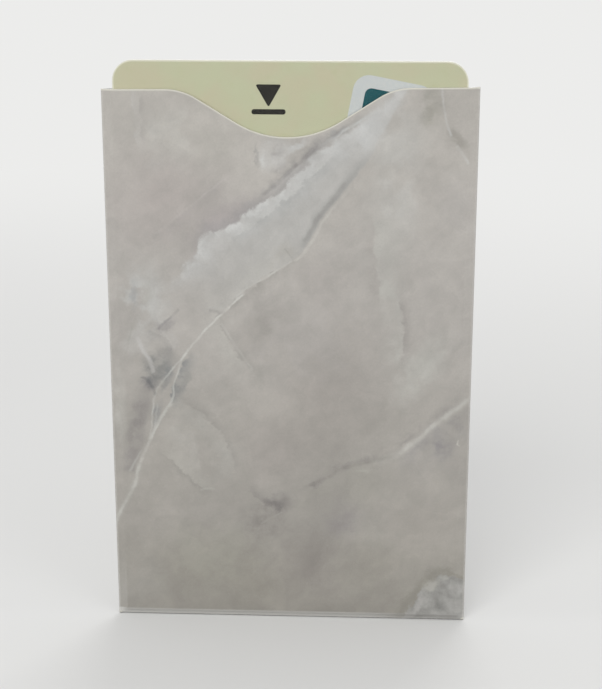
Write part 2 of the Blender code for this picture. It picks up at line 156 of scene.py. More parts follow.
def new_group(name, **inputs):
    """An empty node group and its input sockets. A vector is given as None, and a number with its default."""
    tree = bpy.data.node_groups.new(name, "ShaderNodeTree")
    for label, value in inputs.items():
        kind = SOCKET_KINDS["VECTOR" if value is None else "VALUE"]
        socket = tree.interface.new_socket(label.replace("_", " "), in_out="INPUT", socket_type=kind)
        if value is not None:
            socket.default_value = value
    given = tree.nodes.new("NodeGroupInput").outputs
    return tree, *given[: len(inputs)]


def finish_group(tree, **results):
    for label, result in results.items():
        tree.interface.new_socket(label, in_out="OUTPUT", socket_type=SOCKET_KINDS[result.type])
    ends = tree.nodes.new("NodeGroupOutput")
    for label, result in results.items():
        tree.links.new(result, ends.inputs[label])
    print("Node group", tree.name, "with", len(tree.nodes), "nodes")
    return tree


def use_group(group, **inputs):
    """Places a node group. An underscore stands for the blank in the name of an input."""
    inputs = {label.replace("_", " "): value for label, value in inputs.items()}
    return add_node("Group", inputs, node_tree=group).outputs


def grain_group():
    tree, point, fine, coarse = new_group("sheet grain", Point=None, Fine=4000.0, Coarse=250.0)
    height = noise(point, fine, 3.0, 0.6, flat=False)
    tone = noise(point, coarse, 4.0, 0.55, flat=False)
    return finish_group(tree, Height=height, Tone=tone)


SHEET_GRAIN = grain_group()

# %% Start of a material, its last steps, and a material of grain alone


def new_material(name, **constants):
    """A material with an empty Principled shader, whose plain values are set on its own sockets."""
    made = bpy.data.materials.new(name)
    made.use_nodes = True
    shader = made.node_tree.nodes["Principled BSDF"]
    for label, value in constants.items():
        shader.inputs[label.replace("_", " ")].default_value = value
    return made, shader


def connect(shader, **sockets):
    for label, socket in sockets.items():
        shader.id_data.links.new(socket, shader.inputs[label.replace("_", " ")])


def bump(height, depth, **more):
    """A relief, with its depth in millimetres."""
    return add_node("Bump", {"Height": height, "Distance": depth * MM, **more}).outputs[0]


def object_point(shader):
    return add_node("TexCoord", {}, shader.id_data).outputs["Object"]


def shine(value, low, high):
    """A roughness that goes from low to high with a noise."""
    return ramp(value, 0.3, 0.7, low, high)


def grained(name, fine, coarse, dark, light, relief=0, gloss=None, contrast=None, stretch=None, **constants):
    """A material whose tone and relief come from the sheet grain, and where gloss is given, its roughness."""
    made, shader = new_material(name, **constants)
    point = object_point(shader)
    if stretch:
        point = add_node("Mapping", {0: point, 3: stretch}).outputs[0]
    grain = use_group(SHEET_GRAIN, Point=point, Fine=fine, Coarse=coarse)
    tone = ramp(grain["Tone"], *contrast) if contrast else grain["Tone"]
    connect(shader, Base_Color=mix(tone, srgb(*dark), srgb(*light)))
    if gloss:
        connect(shader, Roughness=shine(grain[gloss[0]], *gloss[1:]))
    if relief:
        connect(shader, Normal=bump(grain["Height"], relief))
    return made


# %% [markdown]
# ## Floor, world and lamps
# A plain pale floor carries the sleeve, under soft studio light. The floor and the world look pale to the
# camera and in reflections, while less of their light comes back onto the object. That way the background
# stays light and the print keeps its own tones.

# %% Floor
FLOOR_RADIUS = 3.0
FLOOR_SEEN = srgb(214, 214, 212)
FLOOR_BOUNCE = srgb(150, 149, 147)
BLACK = srgb(0, 0, 0)
WORLD_SEEN = (0.84, 0.84, 0.83, 1.0)


def seen_directly(tree):
    """White for rays from the camera, and for those that a mirror or glass sends on."""
    rays = add_node("LightPath", {}, tree).outputs
    direct = compute("MAXIMUM", rays["Is Camera Ray"], rays["Is Glossy Ray"])
    return compute("MAXIMUM", direct, rays["Is Transmission Ray"])


def make_floor():
    bm = bmesh.new()
    bmesh.ops.create_circle(bm, cap_ends=True, segments=96, radius=FLOOR_RADIUS)
    mesh = bpy.data.meshes.new("studio_floor")
    bm.to_mesh(mesh)
    bm.free()
    made, shader = new_material("studio floor", Roughness=0.9, Specular_IOR_Level=0.0, Emission_Strength=1.0)
    direct = seen_directly(shader.id_data)
    far = multiply(ramp(vector_math("LENGTH", object_point(shader)), 0.14, 0.42), direct)
    near_colour = mix(direct, FLOOR_BOUNCE, FLOOR_SEEN)
    connect(shader, Base_Color=mix(far, near_colour, BLACK), Emission_Color=mix(far, BLACK, WORLD_SEEN))
    mesh.materials.append(made)
    floor = bpy.data.objects.new("studio_floor", mesh)
    bpy.context.scene.collection.objects.link(floor)
    return floor


print("Floor", make_floor().name)

# %% World and lamps
WORLD_LIGHT = (0.66, 0.66, 0.67, 1.0)
# Name, place in metres, power in watts, width and height in metres
LAMPS = [
    ("key", (-0.16, -0.46, 0.42), 1.55, 0.36, 0.30),
    ("fill", (0.40, -0.36, 0.22), 0.40, 0.30, 0.30),
    ("back", (0.10, 0.50, 0.40), 1.2, 0.40, 0.30),
    ("left_strip", (-0.42, -0.05, 0.12), 0.2, 0.06, 0.30),
    ("right_strip", (0.42, -0.02, 0.12), 0.2, 0.06, 0.30),
]
LAMP_TARGET = Vector((0, 0, 0.045))


def make_world():
    world = bpy.data.worlds.new("studio")
    world.use_nodes = True
    tree = world.node_tree
    colour = mix(seen_directly(tree), WORLD_LIGHT, WORLD_SEEN)
    tree.links.new(colour, tree.nodes["Background"].inputs["Color"])
    bpy.context.scene.world = world


def add_lamp(name, place, power, width, height):
    lamp = bpy.data.lights.new("lamp_" + name, "AREA")
    lamp.shape = "RECTANGLE"
    lamp.energy, lamp.size, lamp.size_y = power, width, height
    made = bpy.data.objects.new("lamp_" + name, lamp)
    made.location = place
    made.rotation_euler = (LAMP_TARGET - Vector(place)).to_track_quat("-Z", "Y").to_euler()
    bpy.context.scene.collection.objects.link(made)


make_world()
for lamp_settings in LAMPS:
    add_lamp(*lamp_settings)
print("Lamps:", ", ".join(settings[0] for settings in LAMPS))

# %% [markdown]
# ## The sheet that the sleeve is folded from
# A real sleeve starts as one flat blank: the front panel in the middle, the back panel on its left, a glue
# flap on its right and another glue flap below. It could be modelled panel by panel, but then print and edges
# would have to be matched at each fold. Here it is made as the factory does: a flat sheet is cut out, its
# flat coordinates are kept for the print, and only then is it folded. The same blank is folded twice, once
# for the printed paper and once for the foil on its inside.

# %% Sizes of the sheet, in millimetres
PAPER = 0.20
FOIL = 0.05
BOND = 0.01
LAMINATE = FOIL + BOND + PAPER
SEAM = 0.06
FOLD_HALF_GAP = 0.05
EDGE_CLEARANCE = 0.30
BOTTOM_SLOPE = 0.70
SIDE_FLAP = 12.0
BOTTOM_FLAP = 14.0
FLAP_TAPER = radians(20)
FLAP_MITRE = radians(45)
CORNER_MITRE_GAP = 0.03

sleeve_low, sleeve_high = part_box("sleeve_paper")
card_low, card_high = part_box("card_front_sheet")
HALF_WIDTH = (sleeve_high.x - sleeve_low.x) / 2 / MM
FOLD_X = HALF_WIDTH - LAMINATE - FOLD_HALF_GAP
FOLD_Z = LAMINATE + FOLD_HALF_GAP
BACK_EDGE_X = HALF_WIDTH - LAMINATE - EDGE_CLEARANCE
BACK_EDGE_Z = LAMINATE + EDGE_CLEARANCE
POCKET_X = card_high.x / MM + 0.05
POCKET_Z = BACK_EDGE_Z + BOTTOM_SLOPE
POCKET_HALF_DEPTH = 0.44
WRAP_Y = (LAMINATE + SEAM) / 2
WRAP_HALF_GAP = FOLD_HALF_GAP + WRAP_Y
MOUTH = 88.0
MOUTH_SKEW = 0.62
MOUTH_LEFT = MOUTH - MOUTH_SKEW / 2
MOUTH_RIGHT = MOUTH + MOUTH_SKEW / 2
print("Fold lines at x", round(FOLD_X, 2), "and z", round(FOLD_Z, 2), "mm")

# %% Widths of the strips that become folds, and the edges of the flat blank
SIDE_ARC = pi * (FOLD_HALF_GAP + LAMINATE)
WRAP_ARC = pi * (FOLD_HALF_GAP + WRAP_HALF_GAP + 2 * LAMINATE) / 2
BACK_START = -FOLD_X - SIDE_ARC
BACK_END = BACK_START - FOLD_X - BACK_EDGE_X
FLAP_START = FOLD_X + WRAP_ARC
FLAP_END = FLAP_START + SIDE_FLAP
LOW_FLAP_START = FOLD_Z - WRAP_ARC
LOW_FLAP_END = LOW_FLAP_START - BOTTOM_FLAP
print("Blank", round(FLAP_END - BACK_END, 1), "by", round(MOUTH - LOW_FLAP_END, 1), "mm")

# %% [markdown]
# The thumb notch is a wave: one valley arc, two straight walls and two shoulder arcs. A function gives its
# depth at any place across the panel, and the rows of the sheet under the mouth will follow it.

# %% Outline of the thumb notch
NOTCH_OFFSET = -0.30
NOTCH_DEPTH = 7.40
NOTCH_WALL = radians(32)
VALLEY_RADIUS = 15.00
SHOULDER_RADIUS = 9.00
NOTCH_ROUNDS = VALLEY_RADIUS + SHOULDER_RADIUS
NOTCH_WALL_DROP = NOTCH_DEPTH - NOTCH_ROUNDS * (1 - cos(NOTCH_WALL))
NOTCH_HALF = NOTCH_ROUNDS * sin(NOTCH_WALL) + NOTCH_WALL_DROP / tan(NOTCH_WALL)


def notch_drop(x):
    """How far the notch takes the front panel's edge down at x."""
    away = abs(x - NOTCH_OFFSET)
    to_end = NOTCH_HALF - away
    if to_end <= 0:
        return 0.0
    if away <= VALLEY_RADIUS * sin(NOTCH_WALL):
        return NOTCH_DEPTH - VALLEY_RADIUS + sqrt(VALLEY_RADIUS**2 - away**2)
    shoulder = SHOULDER_RADIUS * sin(NOTCH_WALL)
    if to_end <= shoulder:
        return SHOULDER_RADIUS - sqrt(SHOULDER_RADIUS**2 - to_end**2)
    return SHOULDER_RADIUS * (1 - cos(NOTCH_WALL)) + (to_end - shoulder) * tan(NOTCH_WALL)


def mouth_height(across):
    """Height of the cut upper edge at a place across the flat blank."""
    if across < -FOLD_X:
        return MOUTH_LEFT
    if across > FOLD_X:
        return MOUTH_RIGHT
    return MOUTH + MOUTH_SKEW * across / (2 * FOLD_X) - notch_drop(across)


print("Notch", round(2 * NOTCH_HALF, 1), "mm wide at its shoulders")

# %% [markdown]
# Lines are needed wherever the sheet bends or where its edge curves: close together in the folds, on the
# slopes beside them and across the notch, and far apart on the flat panels.

# %% Lines of the blank
FOLD_STEPS = 12
SLOPE_STEPS = 8
PANEL_STEP = 2.4
UPPER_STEP = 1.4
NOTCH_STEP = 0.6
CALM_HEIGHT = 74.0
UNDER_EDGE = [3.0, 1.6, 0.9, 0.5, 0.28, 0.14, 0.06]


def evenly(start, end, step):
    """Places from start to end, both included, about one step apart."""
    parts = max(1, round(abs(end - start) / step))
    return [start + (end - start) * part / parts for part in range(parts + 1)]


def join_lines(*runs):
    return sorted({round(place, 6) for run in runs for place in run})


def blank_columns():
    slope = [FOLD_X] + evenly(BACK_EDGE_X, POCKET_X, (BACK_EDGE_X - POCKET_X) / SLOPE_STEPS)
    notch_left, notch_right = NOTCH_OFFSET - NOTCH_HALF, NOTCH_OFFSET + NOTCH_HALF
    front = evenly(-POCKET_X, notch_left, PANEL_STEP) + evenly(notch_left, notch_right, NOTCH_STEP)
    front += evenly(notch_right, POCKET_X, PANEL_STEP) + slope + [-x for x in slope]
    back = [BACK_START - FOLD_X - x for x in slope + [-x for x in slope[1:]]]
    back += evenly(BACK_START - FOLD_X - POCKET_X, BACK_START - FOLD_X + POCKET_X, PANEL_STEP)
    flap = [FLAP_START + FOLD_X - x for x in slope]
    flap += evenly(FLAP_START + FOLD_X - POCKET_X, FLAP_END, PANEL_STEP)
    left_fold = evenly(BACK_START, -FOLD_X, SIDE_ARC / FOLD_STEPS)
    right_fold = evenly(FOLD_X, FLAP_START, WRAP_ARC / FOLD_STEPS)
    return join_lines(front, back, flap, left_fold, right_fold)


def blank_rows():
    slope = [FOLD_Z] + evenly(BACK_EDGE_Z, POCKET_Z, (POCKET_Z - BACK_EDGE_Z) / SLOPE_STEPS)
    upright = slope + evenly(POCKET_Z, CALM_HEIGHT, PANEL_STEP)
    upright += evenly(CALM_HEIGHT, MOUTH - UNDER_EDGE[0], UPPER_STEP)
    upright += [MOUTH - under for under in UNDER_EDGE] + [MOUTH]
    low_fold = evenly(LOW_FLAP_START, FOLD_Z, WRAP_ARC / FOLD_STEPS)
    flap = [LOW_FLAP_START + FOLD_Z - z for z in slope]
    flap += evenly(LOW_FLAP_START + FOLD_Z - POCKET_Z, LOW_FLAP_END, PANEL_STEP)
    return join_lines(upright, low_fold, flap)


print(len(blank_columns()), "columns and", len(blank_rows()), "rows")

# %% [markdown]
# A grid is made and its lines are moved to those places. Its unused corners are deleted, its upper rows are
# brought down to the edge, and the slanting ends of the flaps are cut with bisect_plane.

# %% Cut the blank out of the sheet
NEAR = 0.001


def line_up(bm, columns, rows):
    """Moves the lines of a plain grid to the blank's own places."""
    for vert in bm.verts:
        column = round((vert.co.x + 1) / 2 * (len(columns) - 1))
        row = round((vert.co.y + 1) / 2 * (len(rows) - 1))
        vert.co = (columns[column], rows[row], 0)


def outside_blank(face):
    across, up = face.calc_center_median().xy
    if up < FOLD_Z:
        return abs(across) > (FOLD_X if up > LOW_FLAP_START else POCKET_X)
    return across < (-FOLD_X + BACK_START) / 2 and up < BACK_EDGE_Z


def trim(bm, chosen, place, normal):
    """Cuts the chosen faces along a line, and throws away what lies on the normal's side."""
    place, normal = Vector((*place, 0)), Vector((*normal, 0))
    faces = [face for face in bm.faces if chosen(face.calc_center_median())]
    around = {item for face in faces for item in (*face.verts, *face.edges)}
    bmesh.ops.bisect_plane(bm, geom=faces + list(around), dist=NEAR, plane_co=place, plane_no=normal)
    waste = [face for face in bm.faces if chosen(face.calc_center_median())]
    waste = [face for face in waste if (face.calc_center_median() - place).dot(normal) > 0]
    bmesh.ops.delete(bm, geom=waste, context="FACES")


def cut_blank():
    columns, rows = blank_columns(), blank_rows()
    bm = bmesh.new()
    bmesh.ops.create_grid(bm, x_segments=len(columns) - 1, y_segments=len(rows) - 1, size=1)
    line_up(bm, columns, rows)
    bmesh.ops.delete(bm, geom=[face for face in bm.faces if outside_blank(face)], context="FACES")
    for vert in bm.verts:
        if vert.co.y > CALM_HEIGHT:
            share = (mouth_height(vert.co.x) - CALM_HEIGHT) / (MOUTH - CALM_HEIGHT)
            vert.co.y = CALM_HEIGHT + (vert.co.y - CALM_HEIGHT) * share
    on_side_flap = lambda place: place.x > FLAP_START
    on_low_flap = lambda place: place.y < LOW_FLAP_START
    trim(bm, on_side_flap, (FLAP_START, POCKET_Z), (sin(FLAP_MITRE), -cos(FLAP_MITRE)))
    trim(bm, on_side_flap, (FLAP_START, MOUTH_RIGHT), (sin(FLAP_TAPER), cos(FLAP_TAPER)))
    trim(bm, on_low_flap, (-POCKET_X, LOW_FLAP_START), (-cos(FLAP_TAPER), -sin(FLAP_TAPER)))
    trim(bm, on_low_flap, (POCKET_X, LOW_FLAP_START), (cos(FLAP_MITRE), -sin(FLAP_MITRE)))
    return bm


blank = cut_blank()
print("Flat blank:", len(blank.faces), "faces")

# %% [markdown]
# Two things are kept on the flat blank before it is folded. The first is each point's flat place, which the
# print reads, so that the marble runs round the folds without a break. The second is the distance to the
# nearest cut edge, where the coating is worn pale and a highlight of the edge is painted.

# %% Keep the flat places and the distance to the cut


def keep_flat_facts(bm):
    flat = bm.verts.layers.float_vector.new("blank")
    to_cut = bm.verts.layers.float.new("to_cut")
    rim = [vert for vert in bm.verts if vert.is_boundary]
    tree = KDTree(len(rim))
    for number, vert in enumerate(rim):
        tree.insert(vert.co, number)
    tree.balance()
    for vert in bm.verts:
        vert[flat] = vert.co
        vert[to_cut] = tree.find(vert.co)[2]
    return len(rim)


print("Cut edge:", keep_flat_facts(blank), "points")

# %% [markdown]
# ## Folding
# Each part of the blank has its own rule for where it goes. The panels close up beside and under the card,
# the left fold turns straight back, and the right and bottom folds wrap round the back panel as well. Depth
# is counted outwards from the foil's inner face, so one set of rules serves both layers.

# %% Where each part of the blank goes
SWELL = 0.07
LIP_SWELL = 0.10
LIP_START = 70.0
SWELL_REACH = 14.0
SWELL_RISE = 18.0


def ease(share):
    share = min(max(share, 0.0), 1.0)
    return share * share * (3 - 2 * share)


def pocket_half_depth(x, z):
    """Half of the room for the card, which closes up towards the folds."""
    across = ease((FOLD_X - abs(x)) / (FOLD_X - POCKET_X))
    along = ease((z - FOLD_Z) / (POCKET_Z - FOLD_Z))
    return FOLD_HALF_GAP + (POCKET_HALF_DEPTH - FOLD_HALF_GAP) * across * along


def swell(x, z):
    """How far the front panel stands off the card: paper is never quite flat, least at a free edge."""
    across = ease((FOLD_X - abs(x)) / SWELL_REACH)
    up = ease((z - FOLD_Z) / SWELL_RISE)
    wave = 0.5 + 0.25 * sin(x * 0.21 + z * 0.05 + 0.6) + 0.25 * sin(z * 0.13 - x * 0.07 + 2.1)
    lip = ease((z - LIP_START) / SWELL_RISE) * LIP_SWELL
    return across * up * (SWELL * wave + lip)


def mitre_reach(turn, depth):
    """How far past its line a fold's end runs, so that two folds meet at a corner of the panel."""
    return (FOLD_HALF_GAP + depth) * sin(turn) - CORNER_MITRE_GAP / 2 if turn > NEAR else 0.0


def fold_end(z, turn, depth):
    return FOLD_Z - mitre_reach(turn, depth) if abs(z - FOLD_Z) < NEAR else z


def front_place(x, z, depth):
    return x, -pocket_half_depth(x, z) - swell(x, z) - depth, z


def back_place(x, z, depth):
    return x, pocket_half_depth(x, z) + depth, z


def left_fold_place(turn, z, depth):
    reach = FOLD_HALF_GAP + depth
    return -FOLD_X - reach * sin(turn), -reach * cos(turn), fold_end(z, turn, depth)


def wrap(turn, depth):
    """How far a fold round the back panel reaches out, and how deep it lies."""
    return (FOLD_HALF_GAP + depth) * sin(turn), WRAP_Y - (WRAP_HALF_GAP + depth) * cos(turn)


def right_fold_place(turn, z, depth):
    out, y = wrap(turn, depth)
    return FOLD_X + out, y, fold_end(z, turn, depth)


def low_fold_place(x, turn, depth):
    out, y = wrap(turn, depth)
    if abs(abs(x) - FOLD_X) < NEAR:
        x += mitre_reach(turn, depth) * (1 if x > 0 else -1)
    return x, y, FOLD_Z - out


def folded_place(across, up, depth):
    """Where a point of the flat blank lies when the sleeve is folded, in millimetres."""
    outer = LAMINATE + SEAM + depth
    if up < LOW_FLAP_START - NEAR:
        return back_place(across, LOW_FLAP_START + FOLD_Z - up, outer)
    if up < FOLD_Z - NEAR:
        return low_fold_place(across, (FOLD_Z - up) / WRAP_ARC * pi, depth)
    if across > FLAP_START + NEAR:
        return back_place(FLAP_START + FOLD_X - across, up, outer)
    if across > FOLD_X + NEAR:
        return right_fold_place((across - FOLD_X) / WRAP_ARC * pi, up, depth)
    if across < BACK_START - NEAR:
        return back_place(BACK_START - FOLD_X - across, up, depth)
    if across < -FOLD_X - NEAR:
        return left_fold_place((-FOLD_X - across) / SIDE_ARC * pi, up, depth)
    return front_place(across, up, depth)


# %% Fold one layer of the sheet, and give it its thickness
SHARP_ANGLE = radians(40)


def new_object(name, bm, body, slot, *materials):
    """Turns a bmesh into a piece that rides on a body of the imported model."""
    mesh = bpy.data.meshes.new(name)
    bm.to_mesh(mesh)
    bm.free()
    for finish in materials:
        mesh.materials.append(finish)
    made = bpy.data.objects.new(name, mesh)
    bpy.context.scene.collection.objects.link(made)
    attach(made, body)
    print(name, len(mesh.polygons), "faces")
    return made


def double_faces(bm):
    """Copies all faces onto a second skin, joined to the first by a rim, and gives that skin's points."""
    made = bmesh.ops.extrude_face_region(bm, geom=bm.faces[:], use_keep_orig=True)["geom"]
    return {item for item in made if isinstance(item, bmesh.types.BMVert)}


def fold_layer(name, inner, outer, slot, *materials):
    """The blank's outer skin, extruded to its inner skin. Its cut edges get the second material."""
    bm = blank.copy()
    flat = bm.verts.layers.float_vector["blank"]
    moved = double_faces(bm)
    for face in bm.faces:
        share = sum(vert in moved for vert in face.verts) / len(face.verts)
        face.material_index = 1 if 0 < share < 1 else 0
    for vert in bm.verts:
        x, y, z = folded_place(*vert[flat].xy, inner if vert in moved else outer)
        vert.co = Vector((x, y - WRAP_Y, z)) * MM
    bmesh.ops.recalc_face_normals(bm, faces=bm.faces)
    layer = new_object(name, bm, "sleeve", slot, *materials)
    layer.data.shade_smooth()
    layer.data.set_sharp_from_angle(angle=SHARP_ANGLE)
    return layer


# %% [markdown]
# ## The printed marble
# The print imitates pale grey marble: a light cloudy band that crosses the panel, thin white veins, smoky
# shadows and broad warm and cool tints. An image could hold it, but a pattern made of nodes stays sharp at
# any size. Plain noise alone would give veins anywhere, so each feature is laid where it should be: its
# middle line is drawn with a few points on a curve, and noise roughens its edges.

# %% Node groups for the marble


def drift_group():
    """Moves points about by noise, which makes edges and lines wander."""
    tree, point, scale, amount = new_group("drift", Point=None, Scale=0.2, Amount=1.0)
    centred = vector_math("SUBTRACT", noise(point, scale, 6.0, 0.66, colour=True), (0.5, 0.5, 0.5))
    return finish_group(tree, Point=vector_math("ADD", point, vector_math("SCALE", centred, Scale=amount)))


def chord_group():
    """Counts along a straight line from 0 to 1, and sideways from it in millimetres."""
    tree, point, start, heading, length = new_group("chord", Point=None, Start=None, Heading=None, Length=1.0)
    away = vector_math("SUBTRACT", point, start)
    along = compute("DIVIDE", vector_math("DOT_PRODUCT", away, heading), length)
    left = vector_math("CROSS_PRODUCT", (0, 0, 1), heading)
    return finish_group(tree, Along=along, Aside=vector_math("DOT_PRODUCT", away, left))


def spot_group():
    """A soft oval spot: white in its middle, black from its rim outwards."""
    tree, point, centre, long_way, short_way, core, strength, patch = new_group(
        "soft spot", Point=None, Centre=None, Long_way=None, Short_way=None, Core=0.0, Strength=1.0, Patch=1.0
    )
    away = vector_math("SUBTRACT", point, centre)
    long, short = (vector_math("DOT_PRODUCT", away, way) for way in (long_way, short_way))
    squares = compute("MULTIPLY_ADD", long, long, multiply(short, short))
    return finish_group(tree, Mask=multiply(ramp(compute("SQRT", squares), core, 1.0, strength, 0.0), patch))


def line_group(name, fade_start, fade_end, across):
    """A mask along a line, which fades at its ends. The function across gives its shape from side to side."""
    tree, along, off, width, *strengths = new_group(
        name, Along=0.0, Off=0.0, Width=1.0, Strength=1.0, Patch=1.0
    )
    start = ramp(along, fade_start, fade_end)
    stop = ramp(along, 1 - fade_end, 1 - fade_start, 1.0, 0.0)
    return finish_group(tree, Mask=multiply(across(off, width), multiply(start, stop, *strengths)))


def thin(off, width):
    share = compute("DIVIDE", compute("ABSOLUTE", off), width)
    return ramp(share, 0.15, 1.0, 1.0, 0.0)


def one_side(off, width):
    """Sharp at the line and fading away from it. The width is negative for the right side."""
    share = compute("DIVIDE", off, width)
    return multiply(ramp(share, -0.06, 0.10), ramp(share, 0.0, 1.0, 1.0, 0.0))


DRIFT, CHORD, SPOT = drift_group(), chord_group(), spot_group()
LINE = line_group("thin line", -0.01, 0.05, thin)
SIDE = line_group("shaded side", -0.02, 0.22, one_side)

# %% [markdown]
# A curve through a few points becomes a Float Curve node: the points are counted along and aside of the
# straight line from the first to the last. What comes out is how far any place lies off that curve, positive
# on its left. Thin veins and the borders of broad bands are both made from it.

# %% Helpers that lay features on the print


def drift(point, scale, amount):
    return use_group(DRIFT, Point=point, Scale=scale, Amount=amount)[0]


def off_curve(point, places):
    """How far along a curve a point is, from 0 to 1, and how far off it to the left, in mm."""
    start, stop = Vector((*places[0], 0)), Vector((*places[-1], 0))
    heading = (stop - start).normalized()
    length = (stop - start).length
    left = Vector((-heading.y, heading.x, 0))
    away = [Vector((*place, 0)) - start for place in places]
    reach = max(1.0, *(abs(step.dot(left)) * 1.2 for step in away))
    chord = use_group(CHORD, Point=point, Start=start, Heading=heading, Length=length)
    bend = add_node("FloatCurve", {"Value": chord["Along"]})
    points = bend.mapping.curves[0].points
    for number, step in enumerate(away):
        along, aside = step.dot(heading) / length, 0.5 + step.dot(left) / (2 * reach)
        if number in (0, len(away) - 1):
            points[0 if number == 0 else -1].location = (along, aside)
        else:
            points.new(along, aside)
    bend.mapping.update()
    middle = compute("MULTIPLY_ADD", bend.outputs[0], 2 * reach, -reach)
    return chord["Along"], compute("SUBTRACT", chord["Aside"], middle)


def lay_spots(colour, point, spots, core=0.0, patch=1.0):
    """Lays soft spots. A row may end with its turn in degrees, and then with the size of its full core."""
    for tint, strength, centre, size, *more in spots:
        turn, full = more + [0.0, core][len(more) :]
        turned = Matrix.Rotation(radians(turn), 3, "Z")
        long, short = turned @ Vector((1 / size[0], 0, 0)), turned @ Vector((0, 1 / size[1], 0))
        place = {"Point": point, "Centre": (*centre, 0), "Long_way": long, "Short_way": short}
        mask = use_group(SPOT, **place, Core=full, Strength=strength, Patch=patch)
        colour = lay(colour, mask[0], *tint)
    return colour


def lay_lines(colour, point, group, rows, patch):
    """Lays lines, or the shades beside them. A row without points follows the line of the row above."""
    for tint, strength, width, *places in rows:
        line = places or line
        along, off = off_curve(point, line)
        mask = use_group(group, Along=along, Off=off, Width=width, Strength=strength, Patch=patch)
        colour = lay(colour, mask[0], *tint)
    return colour


# %% [markdown]
# The ground of the print gets darker and more olive towards the foot, partly as print and partly as painted
# shade of light that falls off downwards. Broad tints lie over it: mauve and olive areas, pale clouds and
# smoky patches. Their rims drift, so none looks like an oval.

# %% Ground and broad tints of the marble
# Tones from the foot to the mouth; the darkening towards the foot is partly painted shade
GROUND_WITH_PAINTED_SHADE = [
    (0.00, (159, 155, 147)),
    (0.12, (168, 164, 156)),
    (0.20, (169, 165, 158)),
    (0.30, (172, 168, 161)),
    (0.40, (176, 172, 165)),
    (0.55, (180, 176, 170)),
    (0.72, (184, 180, 174)),
    (1.00, (184, 180, 173)),
]
# Tint, strength, centre, half sizes, and the turn in degrees where there is one
BROAD_TINTS = [
    ((173, 165, 161), 0.55, (-20, 71), (14, 11), 20),
    ((170, 162, 162), 0.5, (-11, 67), (9, 4), 40),
    ((184, 181, 173), 0.5, (-12, 80), (8, 7)),
    ((165, 159, 153), 0.5, (6, 40), (13, 18), -15),
    ((160, 156, 150), 0.6, (-4.5, 49), (8, 6), 30),
    ((160, 156, 151), 0.4, (27, 27), (4, 5)),
    ((160, 154, 149), 0.45, (-3, 30), (8, 9)),
    ((143, 137, 132), 0.5, (3, 10), (9, 9)),
    ((142, 138, 129), 0.5, (-4, 5), (8, 5)),
    ((179, 174, 166), 0.6, (22, 17), (9, 9)),
    ((147, 141, 143), 0.5, (9, 18), (6, 5), 10),
    ((172, 169, 160), 0.6, (12, 23), (6, 5), -20),
    ((158, 154, 145), 0.55, (13, 9), (8, 8)),
    ((142, 139, 128), 0.5, (-12, 9), (15, 9)),
    ((188, 186, 180), 0.65, (15, 68), (6, 16), -4),
    ((189, 185, 179), 0.5, (22, 56), (9, 9)),
    ((190, 186, 181), 0.5, (26, 70), (5, 7)),
    ((191, 189, 183), 0.6, (17, 81), (7, 7), 30),
    ((168, 163, 158), 0.5, (5.5, 57.5), (6, 8)),
    ((185, 184, 177), 0.7, (21, 44), (9, 3.6), 56),
    ((170, 167, 160), 0.6, (-25.5, 5), (6, 8)),
    ((176, 172, 165), 0.5, (-15, 22), (8, 6)),
    ((182, 178, 171), 0.5, (-12.5, 39), (4, 6)),
    # On the back and on the side flap
    ((166, 158, 155), 0.55, (-50, 26), (16, 14)),
    ((188, 186, 180), 0.55, (-73, 48), (10, 16), 20),
    ((170, 162, 161), 0.55, (-40, 66), (10, 16)),
    ((142, 139, 129), 0.5, (-70, 8), (18, 9)),
    ((184, 182, 175), 0.5, (36, 62), (8, 16)),
]


def ground_colour(point):
    shades = add_node("ValToRGB", {0: vector_math("DOT_PRODUCT", point, (0, 1 / MOUTH, 0))})
    stops = shades.color_ramp.elements
    stops.remove(stops[1])
    for number, (place, tint) in enumerate(GROUND_WITH_PAINTED_SHADE):
        stop = stops.new(place) if number else stops[0]
        stop.color = srgb(*tint)
    return shades.outputs[0]


print(len(BROAD_TINTS), "broad tints")

# %% [markdown]
# The band runs from the middle of the left side up to the right shoulder of the notch. Its upper border is a
# bright, fluffy ridge, and its lower border is a shaded step. Both borders are curves, and the tone between
# them follows from how far a place lies inside each.

# %% The light band
BAND_TOP = [
    (-18.4, 54.6), (-18, 58.2), (-14.6, 62), (-13.4, 65.2), (-11.2, 66), (-8.4, 67.3), (-5.2, 70),
    (-0.4, 72.9), (1.8, 75.4), (4, 78), (8.6, 80.9), (13, 84.4), (15.2, 86.4), (16.6, 89.4),
]
BAND_FOOT = [
    (-17, 45), (-10.2, 53.2), (-5.6, 57.6), (0.6, 61.4), (2.2, 63), (3.9, 65.8), (5, 68), (7.4, 70.9),
    (9.3, 73.4), (11, 75.7), (12.7, 77.8), (13.4, 80.2), (14.9, 82.4), (16.2, 85), (19.4, 90),
]


